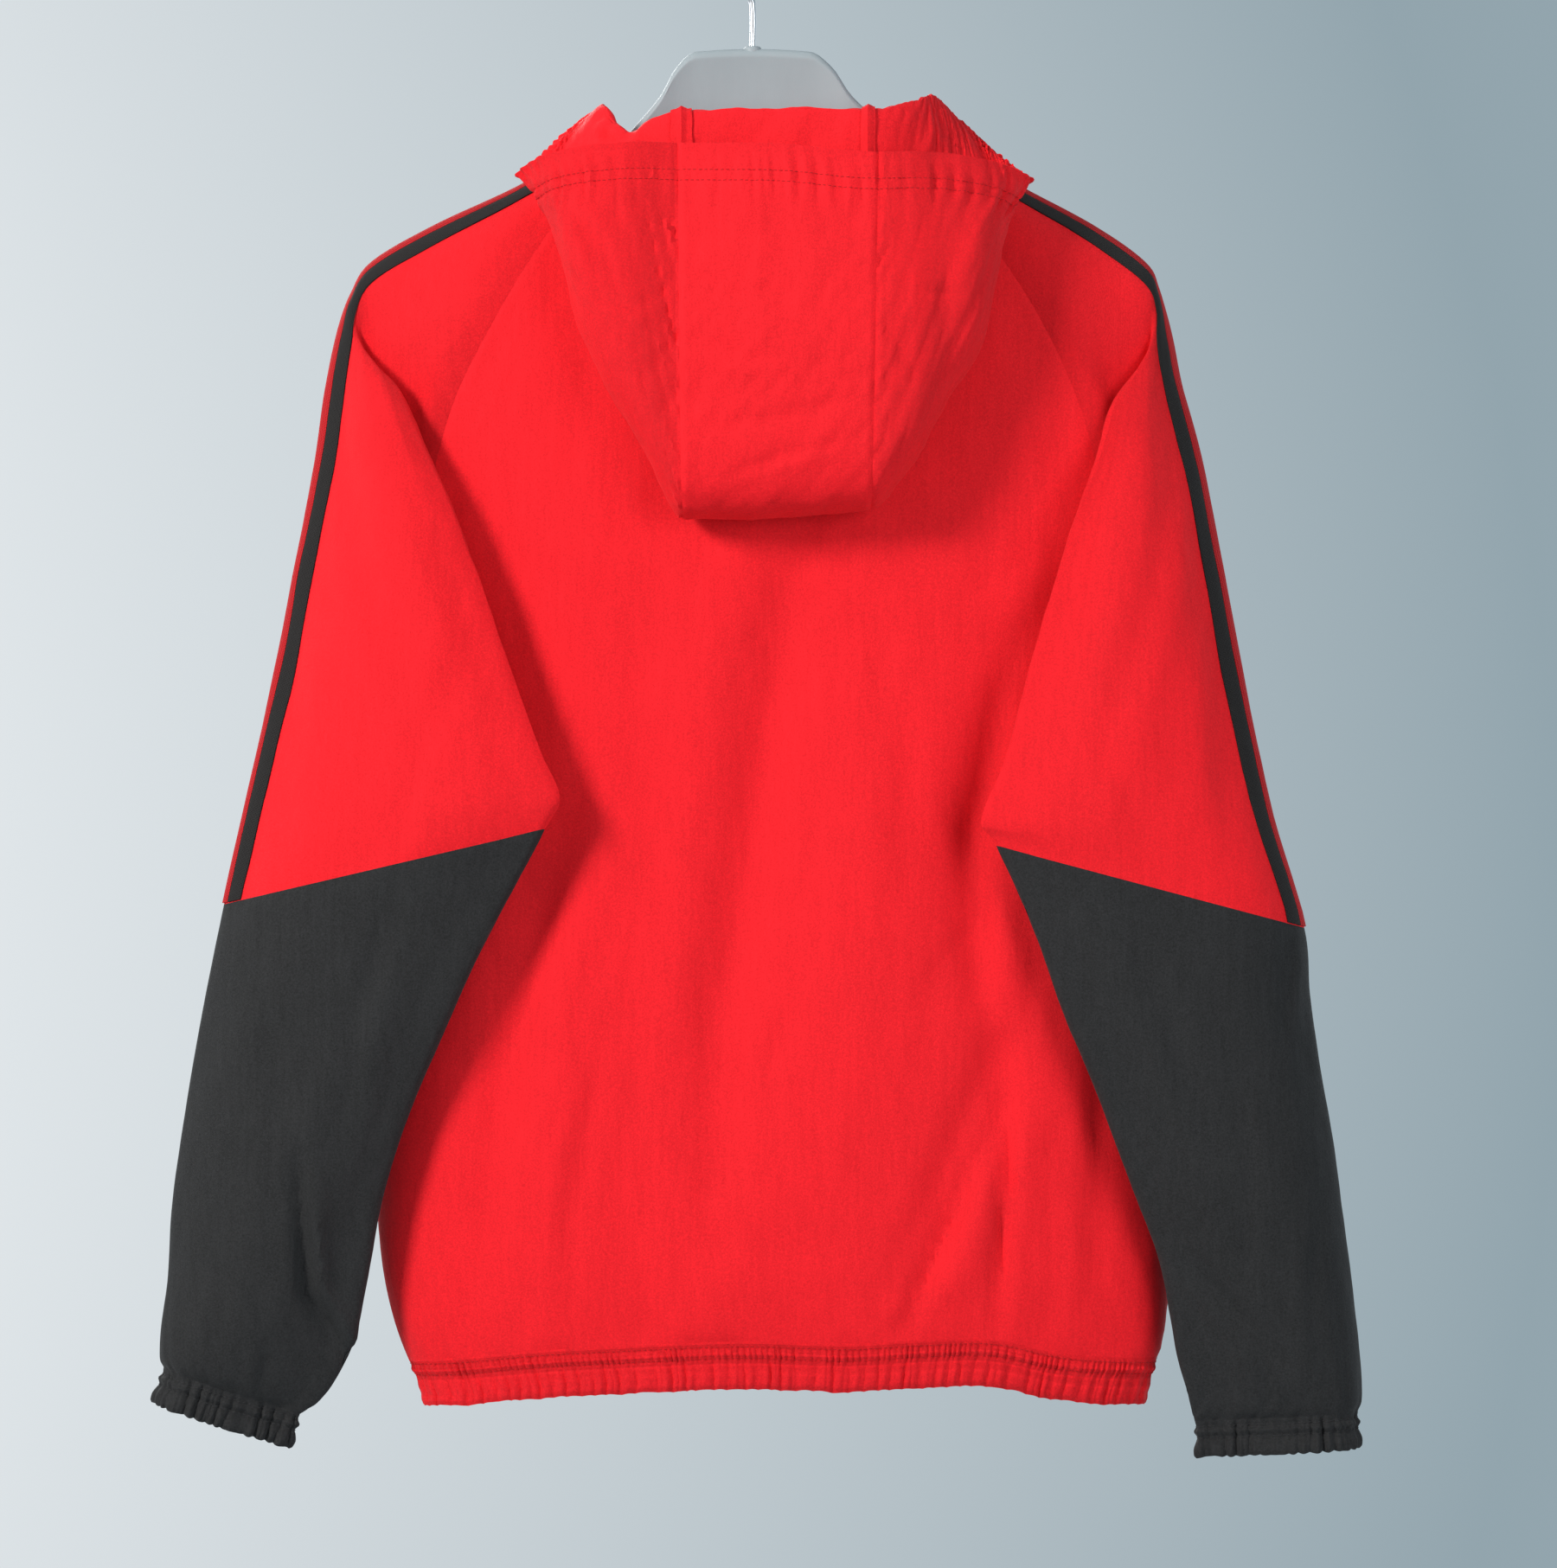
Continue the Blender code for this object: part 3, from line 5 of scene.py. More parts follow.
import bpy
import numpy as np
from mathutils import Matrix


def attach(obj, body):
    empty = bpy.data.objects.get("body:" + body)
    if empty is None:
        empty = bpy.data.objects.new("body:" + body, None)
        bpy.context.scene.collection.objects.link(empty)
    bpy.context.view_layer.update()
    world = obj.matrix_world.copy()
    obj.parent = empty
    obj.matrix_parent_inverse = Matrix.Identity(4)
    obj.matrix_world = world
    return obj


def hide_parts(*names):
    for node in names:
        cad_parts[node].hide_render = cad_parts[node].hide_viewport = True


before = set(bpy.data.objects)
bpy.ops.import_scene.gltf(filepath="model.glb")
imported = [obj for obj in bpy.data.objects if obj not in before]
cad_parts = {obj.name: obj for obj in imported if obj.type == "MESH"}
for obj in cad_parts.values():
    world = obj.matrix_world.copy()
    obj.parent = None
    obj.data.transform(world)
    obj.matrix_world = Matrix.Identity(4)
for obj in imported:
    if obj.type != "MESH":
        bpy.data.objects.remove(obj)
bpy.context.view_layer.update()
scene = bpy.context.scene
rideOn = "jacket"
random = np.random.default_rng(7)
print("frame loaded:", len(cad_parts), "nodes")


# camera, light and floor
view = {"lens": 139, "distance": 3.5, "aim": (-0.0150, 0.0, -0.4873)}
studio = {
    "floorLevel": -1.32, "floorRadius": 1.9,
    "lamps": (  # place, aim, size, power, colour
        ((2.10, 1.85, 0.80), (0.0, 0.0, -0.45), 0.7, 93, (1.0, 0.985, 0.96)),
        ((-1.90, 2.40, 0.10), (0.0, 0.0, -0.50), 1.6, 42, (0.95, 0.98, 1.0)),
        ((0.90, -2.50, 0.60), (0.0, 0.0, -0.45), 1.2, 46, (1.0, 0.99, 0.97)),
        ((-1.50, -1.80, -0.40), (0.0, 0.0, -0.50), 1.6, 8, (0.95, 0.98, 1.0)),
    ),
}


def aimAt(thing, target):
    way = np.array(target) - np.array(thing.location)
    flat = math.hypot(way[0], way[1])
    thing.rotation_euler = (math.atan2(flat, -way[2]), 0, math.atan2(way[1], way[0]) - math.pi / 2)


def addCamera():
    data = bpy.data.cameras.new("photoCamera")
    data.lens, data.sensor_width, data.clip_end = view["lens"], 36, 60
    camera = bpy.data.objects.new("photoCamera", data)
    scene.collection.objects.link(camera)
    aim = view["aim"]
    camera.location = (aim[0], aim[1] + view["distance"], aim[2])
    aimAt(camera, aim)
    scene.camera = camera


def addLamps():
    for i, (place, target, size, power, colour) in enumerate(studio["lamps"]):
        data = bpy.data.lights.new("lamp%d" % i, "AREA")
        data.size, data.energy, data.color = size, power, colour
        lamp = bpy.data.objects.new("lamp%d" % i, data)
        scene.collection.objects.link(lamp)
        lamp.location = place
        aimAt(lamp, target)


addCamera()
addLamps()
scene.view_settings.view_transform = "Standard"
scene.view_settings.look = "None"


# shader maths
class Signal:
    # wraps a socket, so that shader maths reads as plain arithmetic
    def __init__(self, tree, socket):
        self.tree, self.socket = tree, socket

    def make(self, kind, settings=None, sockets=None):
        node = self.tree.nodes.new(kind)
        for key, value in (settings or {}).items():
            setattr(node, key, value)
        for key, value in (sockets or {}).items():
            if isinstance(value, Signal):
                self.tree.links.new(value.socket, node.inputs[key])
            else:
                node.inputs[key].default_value = value
        return node

    def get(self, kind, settings=None, sockets=None, out=0):
        return Signal(self.tree, self.make(kind, settings, sockets).outputs[out])

    def maths(self, operation, first, second=0.0):
        return self.get("ShaderNodeMath", {"operation": operation}, {0: first, 1: second})

    def __add__(self, other):
        return self.maths("ADD", self, other)

    def __radd__(self, other):
        return self.maths("ADD", other, self)

    def __sub__(self, other):
        return self.maths("SUBTRACT", self, other)

    def __rsub__(self, other):
        return self.maths("SUBTRACT", other, self)

    def __mul__(self, other):
        return self.maths("MULTIPLY", self, other)

    def __rmul__(self, other):
        return self.maths("MULTIPLY", other, self)

    def sine(self):
        return self.maths("SINE", self)

    def clamped(self):
        return self.get("ShaderNodeClamp", {}, {0: self})

    def mixed(self, first, second):
        # this signal is the factor between two colours
        return self.get("ShaderNodeMix", {"data_type": "RGBA"}, {0: self, 6: first, 7: second}, out=2)


class Finish:
    # one material: its Principled shader, its places on the cloth and in space
    def __init__(self, name, **constants):
        self.material = bpy.data.materials.new(name)
        self.material.use_nodes = True
        tree = self.material.node_tree
        self.shader = tree.nodes["Principled BSDF"]
        self.start = Signal(tree, None)
        for key, value in constants.items():
            self.shader.inputs[key.replace("_", " ")].default_value = value
        self.place = self.start.get("ShaderNodeTexCoord", out=3)
        cut = self.start.get("ShaderNodeUVMap", {"uv_map": "cut"})
        split = self.start.make("ShaderNodeSeparateXYZ", None, {0: cut})
        self.across, self.along = (Signal(tree, split.outputs[k]) for k in (0, 1))

    def noise(self, scale, detail=3, squeeze=(1, 1, 1), roughness=0.55):
        moved = self.start.get("ShaderNodeVectorMath", {"operation": "MULTIPLY"}, {0: self.place, 1: squeeze})
        return self.start.get("ShaderNodeTexNoise", None,
                              {"Vector": moved, "Scale": scale, "Detail": detail, "Roughness": roughness})

    def feed(self, key, signal):
        self.start.tree.links.new(signal.socket, self.shader.inputs[key])

    def bump(self, height, distance):
        self.feed("Normal", self.start.get("ShaderNodeBump", None,
                                           {"Height": height, "Distance": distance, "Strength": 1.0}))


def wovenCloth(name, light, dark, roughness, crinkle, sheen):
    # plain weave shell cloth: fine threads, soft vertical crinkle, slight unevenness of the dye
    made = Finish(name, Sheen_Weight=sheen, Sheen_Roughness=0.45, Specular_IOR_Level=0.16)
    threadTurns = 2 * math.pi / 0.0007
    weave = (made.across * threadTurns).sine() * (made.along * threadTurns).sine()
    mottle = made.noise(24, 5)
    grain = made.noise(900, 3, roughness=0.75)
    threads = made.noise(300, 3, squeeze=(1.0, 1.0, 0.12), roughness=0.6)
    soft = made.noise(70, 5, squeeze=(1.0, 1.0, 0.4))
    shade = (mottle * 0.40 + (grain - 0.5) * 2.4 + (threads - 0.5) * 0.7 + weave * 0.06 + 0.32).clamped()
    made.feed("Base Color", shade.mixed(dark, light))
    made.feed("Roughness", roughness + (mottle - 0.5) * 0.10)
    made.bump(weave * 0.05 + soft * crinkle + grain * 0.20, 0.0012)
    return made.material


def knitTape(name, light, dark, ribPitch, roughness):
    # knitted tape: ribs along its length, with slanting stitches inside each rib; its colour follows their height, with
    # painted shade in the grooves and lighter rib tops
    made = Finish(name, Sheen_Weight=0.04, Sheen_Roughness=0.5, Specular_IOR_Level=0.14)
    rib = (made.across * (2 * math.pi / ribPitch)).sine()
    slant = ((made.along + made.across * 0.7) * (2 * math.pi / 0.0016)).sine()
    fuzz = made.noise(1400, 2)
    height = rib * 0.5 + slant * 0.28 + fuzz * 0.3
    # painted shade: the colour darkens where the rib height is low, in the grooves between the ribs
    made.feed("Base Color", (height * 0.45 + 0.45).clamped().mixed(dark, light))
    made.feed("Roughness", roughness + fuzz * 0.08)
    made.bump(height, 0.00035)
    return made.material


def thread(name, light, dark):
    made = Finish(name, Sheen_Weight=0.04, Specular_IOR_Level=0.2)
    twist = made.noise(2600, 2)
    made.feed("Base Color", twist.mixed(dark, light))
    made.feed("Roughness", 0.5 + twist * 0.15)
    made.bump(twist, 0.0001)
    return made.material


def mouldedPlastic(name, light, dark):
    # satin moulded body: faint spark texture, and scuffs and dust as noise over the whole surface
    made = Finish(name, Specular_IOR_Level=0.34)
    spark = made.noise(1500, 3, roughness=0.65)
    cloud = made.noise(9, 4)
    scuff = made.noise(60, 6, squeeze=(1, 1, 0.25), roughness=0.7)
    made.feed("Base Color", (cloud * 0.8 + (scuff - 0.5) * 0.5).clamped().mixed(dark, light))
    made.feed("Roughness", 0.40 + scuff * 0.16 + cloud * 0.06)
    made.bump(spark * 0.6 + scuff * 0.4, 0.00012)
    return made.material


def wornMetal(name, light, dark, roughness, brush):
    made = Finish(name, Metallic=1.0, Specular_IOR_Level=0.5)
    streak = made.noise(420, 4, squeeze=brush, roughness=0.6)
    cloud = made.noise(40, 4)
    made.feed("Base Color", (streak * 0.5 + cloud * 0.5).mixed(dark, light))
    made.feed("Roughness", roughness + streak * 0.14 + cloud * 0.06)
    made.bump(streak, 0.00004)
    return made.material


finishes = {
    "redShell": wovenCloth("redShell", (0.95, 0.0125, 0.0210, 1), (0.70, 0.0060, 0.0120, 1), 0.66, 0.42, 0.03),
    "blackShell": wovenCloth("blackShell", (0.030, 0.030, 0.031, 1), (0.013, 0.013, 0.013, 1), 0.72, 0.36, 0.05),
    "redCasing": wovenCloth("redCasing", (0.93, 0.0120, 0.0200, 1), (0.66, 0.0055, 0.0110, 1), 0.66, 0.60, 0.03),
    "blackCasing": wovenCloth("blackCasing", (0.030, 0.030, 0.031, 1), (0.012, 0.012, 0.012, 1), 0.72, 0.55, 0.05),
    "blackTape": knitTape("blackTape", (0.027, 0.024, 0.023, 1), (0.009, 0.008, 0.008, 1), 0.0011, 0.78),
    "ribKnit": knitTape("ribKnit", (0.66, 0.0120, 0.0180, 1), (0.22, 0.0030, 0.0050, 1), 0.0021, 0.74),
    "zipTape": knitTape("zipTape", (0.62, 0.020, 0.028, 1), (0.38, 0.010, 0.014, 1), 0.0009, 0.72),
    "redThread": thread("redThread", (0.62, 0.0080, 0.0120, 1), (0.38, 0.0040, 0.0070, 1)),
    "blackThread": thread("blackThread", (0.040, 0.040, 0.042, 1), (0.012, 0.012, 0.013, 1)),
    "hangerPlastic": mouldedPlastic("hangerPlastic", (0.355, 0.405, 0.425, 1), (0.275, 0.315, 0.335, 1)),
    "steel": wornMetal("steel", (0.72, 0.75, 0.78, 1), (0.50, 0.53, 0.56, 1), 0.20, (1, 1, 0.05)),
    "zipMetal": wornMetal("zipMetal", (0.62, 0.62, 0.63, 1), (0.40, 0.40, 0.41, 1), 0.30, (0.1, 1, 1)),
}
print("finishes made:", len(finishes))


# curves and grids
def levelSlopes(knots, values):
    # slopes that keep a curve from overshooting its values
    steps = np.diff(values, axis=0) / np.diff(knots)[:, None]
    before, after = steps[:-1], steps[1:]
    together = before * after > 0
    middle = np.where(together, 2 * before * after / np.where(together, before + after, 1), 0)
    return np.concatenate([steps[:1], middle, steps[-1:]])


def cubic(knots, values, at, level=False):
    knots, values = np.asarray(knots, float), np.asarray(values, float)
    at = np.clip(np.asarray(at, float), knots[0], knots[-1])
    slopes = levelSlopes(knots, values) if level else np.gradient(values, knots, axis=0)
    i = np.clip(np.searchsorted(knots, at, side="right") - 1, 0, len(knots) - 2)
    step = knots[i + 1] - knots[i]
    t = (at - knots[i]) / step
    if values.ndim > 1:
        t, step = t[..., None], step[..., None]
    rise = 3 * t**2 - 2 * t**3
    return ((1 - rise) * values[i] + rise * values[i + 1]
            + (t**3 - 2 * t**2 + t) * step * slopes[i] + (t**3 - t**2) * step * slopes[i + 1])


def lengthsAlong(points):
    steps = np.linalg.norm(np.diff(points, axis=0), axis=1)
    return np.concatenate([[0.0], np.cumsum(steps)])


def pointsAt(curve, places):
    lengths = lengthsAlong(curve)
    return np.stack([np.interp(places, lengths, curve[:, k]) for k in range(3)], axis=1)


def openCurve(points, samples):
    points = np.asarray(points, float)
    reach = lengthsAlong(points)
    dense = cubic(reach, points, np.linspace(0, reach[-1], 600))
    return pointsAt(dense, np.linspace(0, lengthsAlong(dense)[-1], samples))


def closedCurve(points):
    points = np.asarray(points, float)
    wrapped = np.concatenate([points[-3:], points, points[:4]])
    knots = lengthsAlong(wrapped)
    return cubic(knots, wrapped, np.linspace(knots[3], knots[3 + len(points)], 1801))


def gridNormals(grid, closed=False):
    wrapped = np.concatenate([grid[:, -1:], grid, grid[:, :1]], axis=1) if closed else grid
    down = np.gradient(wrapped, axis=0)
    over = np.gradient(wrapped, axis=1)
    normals = np.cross(over, down)
    if closed:
        normals = normals[:, 1:-1]
    return normals / np.maximum(np.linalg.norm(normals, axis=2), 1e-12)[..., None]


def distances(grid, closed=False):
    # metres down the columns and along the rows, for seams and for the weave
    down = np.concatenate([np.zeros((1, grid.shape[1])),
                           np.cumsum(np.linalg.norm(np.diff(grid, axis=0), axis=2), axis=0)])
    wide = np.concatenate([grid, grid[:, :1]], axis=1) if closed else grid
    over = np.concatenate([np.zeros((grid.shape[0], 1)),
                           np.cumsum(np.linalg.norm(np.diff(wide, axis=1), axis=2), axis=1)], axis=1)
    return down, over


def waves(u, v, seed, count, shortest, longest, lean):
    # soft crumple: a sum of long waves that mostly run up and down the cloth
    dice = np.random.default_rng(seed)
    total = np.zeros(np.broadcast(u, v).shape)
    for _ in range(count):
        length = math.exp(dice.uniform(math.log(shortest), math.log(longest)))
        angle = dice.normal(0, lean)
        phase = dice.uniform(0, 2 * math.pi)
        share = (length / longest) ** 0.8
        total += share * np.sin((u * math.cos(angle) + v * math.sin(angle)) * 2 * math.pi / length + phase)
    return total / math.sqrt(count)


def smooth(low, high, value):
    t = np.clip((value - low) / (high - low), 0, 1)
    return t * t * (3 - 2 * t)


def creaseDepth(x, z, creases):
    # each crease: its points in the photo's picture (x, y), half width and depth in mm, and how far it leans
    total = np.zeros(x.shape)
    for points, width, depth, lean in creases:
        line = np.array([((870 - a) * 0.0005, -(b + 68) * 0.0005) for a, b in points])
        runs = np.linalg.norm(np.diff(line, axis=0), axis=1)
        starts = np.concatenate([[0], np.cumsum(runs)])
        best = np.full(x.shape, 9.0)
        side = np.zeros(x.shape)
        along = np.zeros(x.shape)
        for k in range(len(line) - 1):
            way = (line[k + 1] - line[k]) / runs[k]
            dx, dz = x - line[k, 0], z - line[k, 1]
            t = np.clip(dx * way[0] + dz * way[1], 0, runs[k])
            offX, offZ = dx - t * way[0], dz - t * way[1]
            away = np.hypot(offX, offZ)
            near = away < best
            best = np.where(near, away, best)
            side = np.where(near, offX * way[1] - offZ * way[0], side)
            along = np.where(near, starts[k] + t, along)
        share = along / starts[-1]
        fade = np.sin(math.pi * np.clip(share * 0.92 + 0.04, 0, 1)) ** 0.6
        near = best / (width * 0.001)
        profile = -np.exp(-near**2) + 0.55 * np.exp(-((side / (width * 0.001) - 1.7 * lean) / 1.1) ** 2) * (near < 5)
        total += profile * depth * 0.001 * fade * np.exp(-np.maximum(near - 3, 0))
    return total


def ringFaces(count, sides, turned=False, capped=True):
    # quads between each ring of vertices and the next, and a cap at each end
    i, j = np.meshgrid(np.arange(count - 1), np.arange(sides), indexing="ij")
    k = (j + 1) % sides
    corners = [i * sides + j, i * sides + k, (i + 1) * sides + k, (i + 1) * sides + j]
    if turned:
        corners = [corners[0], corners[3], corners[2], corners[1]]
    faces = np.stack(corners, axis=2).reshape(-1, 4).tolist()
    if capped:
        way = 1 if turned else -1
        faces.append(list(range(sides))[::way])
        faces.append(list(range((count - 1) * sides, count * sides))[::-way])
    return faces


def addPiece(name, vertices, faces, finish, node=None, uvs=None, sharp=40):
    mesh = bpy.data.meshes.new(name)
    mesh.from_pydata(np.asarray(vertices).tolist(), [], faces)
    mesh.materials.append(finishes[finish])
    mesh.shade_smooth()
    if sharp:
        mesh.set_sharp_from_angle(angle=math.radians(sharp))
    layer = mesh.uv_layers.new(name="cut")
    if uvs is None:
        corner = np.zeros(len(mesh.loops), int)
        mesh.loops.foreach_get("vertex_index", corner)
        spots = np.asarray(vertices)[corner]
        uvs = np.stack([spots[:, 0] + spots[:, 1], spots[:, 2]], axis=1)
    layer.data.foreach_set("uv", np.asarray(uvs, np.float32).ravel())
    piece = bpy.data.objects.new(name, mesh)
    scene.collection.objects.link(piece)
    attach(piece, rideOn)
    if node:
        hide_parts(node)
    return piece


def addShell(name, grid, facing, finish, node=None, closed=False, wall=0.0007, straight=0):
    # a thin wall: the grid is its outer face, a second layer lies inside, the weave follows the straight column
    normals = gridNormals(grid, closed) * facing
    inner = grid - normals * wall
    rows, columns = grid.shape[:2]
    count = rows * columns
    last = columns if closed else columns - 1
    i, j = np.meshgrid(np.arange(rows - 1), np.arange(last), indexing="ij")
    k = (j + 1) % columns
    a, b, c, d = i * columns + j, i * columns + k, (i + 1) * columns + k, (i + 1) * columns + j
    front = np.stack([a, d, c, b] if facing < 0 else [a, b, c, d], axis=2).reshape(-1, 4)
    back = front[:, ::-1] + count
    down, over = distances(grid, closed)
    downWide = np.concatenate([down, down[:, :1]], axis=1) if closed else down
    uv = np.stack([over - over[:, straight][:, None], downWide], axis=2)
    corners = [uv[i, j], uv[i, j + 1], uv[i + 1, j + 1], uv[i + 1, j]]
    if facing < 0:
        corners = [corners[0], corners[3], corners[2], corners[1]]
    uvFront = np.stack(corners, axis=2).reshape(-1, 4, 2)
    faces, uvs = [front, back], [uvFront, uvFront[:, ::-1]]
    steps = np.arange(last)
    following = (steps + 1) % columns
    rims = [(steps, following, False), ((rows - 1) * columns + steps, (rows - 1) * columns + following, True)]
    if not closed:
        side = np.arange(rows - 1) * columns
        rims += [(side, side + columns, True), (side + columns - 1, side + 2 * columns - 1, False)]
    flat = np.concatenate([uv[:, : columns].reshape(-1, 2)] * 2)
    for start, end, turn in rims:
        turn = turn != (facing < 0)
        quad = np.stack([start, end, end + count, start + count] if turn
                        else [end, start, start + count, end + count], axis=1)
        faces.append(quad)
        uvs.append(flat[quad])
    faces = np.concatenate(faces)
    return addPiece(name, np.concatenate([grid.reshape(-1, 3), inner.reshape(-1, 3)]), faces.tolist(),
                    finish, node, np.concatenate(uvs).reshape(-1, 2))


stitches = {
    "length": 0.0023, "pitch": 0.0031, "radius": 0.00024, "sides": 6, "proud": 0.00012,
    "shape": ((0.0, -0.0003, 0.6), (0.22, 0.0001, 1.0), (0.78, 0.0001, 1.0), (1.0, -0.0003, 0.6)),
}


def stitchRow(path, normals):
    # one row of lockstitch: short threads that dip into the cloth at both ends
    lengths = lengthsAlong(path)
    count = max(int(lengths[-1] / stitches["pitch"]), 1)
    shape = np.array(stitches["shape"])
    starts = (np.arange(count) + 0.5) * lengths[-1] / count - stitches["length"] / 2
    starts = starts + random.uniform(-0.0002, 0.0002, count)
    places = np.clip(starts[:, None] + shape[None, :, 0] * stitches["length"], 0, lengths[-1]).ravel()
    spots = pointsAt(path, places)
    ups = np.stack([np.interp(places, lengths, normals[:, k]) for k in range(3)], axis=1)
    ways = pointsAt(path, np.minimum(places + 0.0005, lengths[-1])) - pointsAt(path, np.maximum(places - 0.0005, 0))
    ways /= np.maximum(np.linalg.norm(ways, axis=1), 1e-9)[:, None]
    ups /= np.maximum(np.linalg.norm(ups, axis=1), 1e-9)[:, None]
    beside = np.cross(ways, ups)
    beside /= np.maximum(np.linalg.norm(beside, axis=1), 1e-9)[:, None]
    rises, size = np.tile(shape[:, 1], count), np.tile(shape[:, 2], count)
    middles = spots + ups * (rises + stitches["proud"])[:, None]
    sides = stitches["sides"]
    angles = np.arange(sides) * 2 * math.pi / sides
    radius = (stitches["radius"] * size)[:, None, None]
    rings = middles[:, None] + radius * (np.cos(angles)[:, None] * beside[:, None]
                                         + np.sin(angles)[:, None] * ups[:, None])
    each, corners = ringFaces(len(shape), sides), len(shape) * sides
    faces = [[n * corners + corner for corner in face] for n in range(count) for face in each]
    return rings.reshape(-1, 3), faces


def addStitches(name, rows, finish):
    vertices, faces, base = [], [], 0
    for path, normals in rows:
        more, quads = stitchRow(path, normals)
        vertices.append(more)
        faces += [tuple(base + v for v in quad) for quad in quads]
        base += len(more)
    return addPiece(name, np.concatenate(vertices), faces, finish, sharp=0)


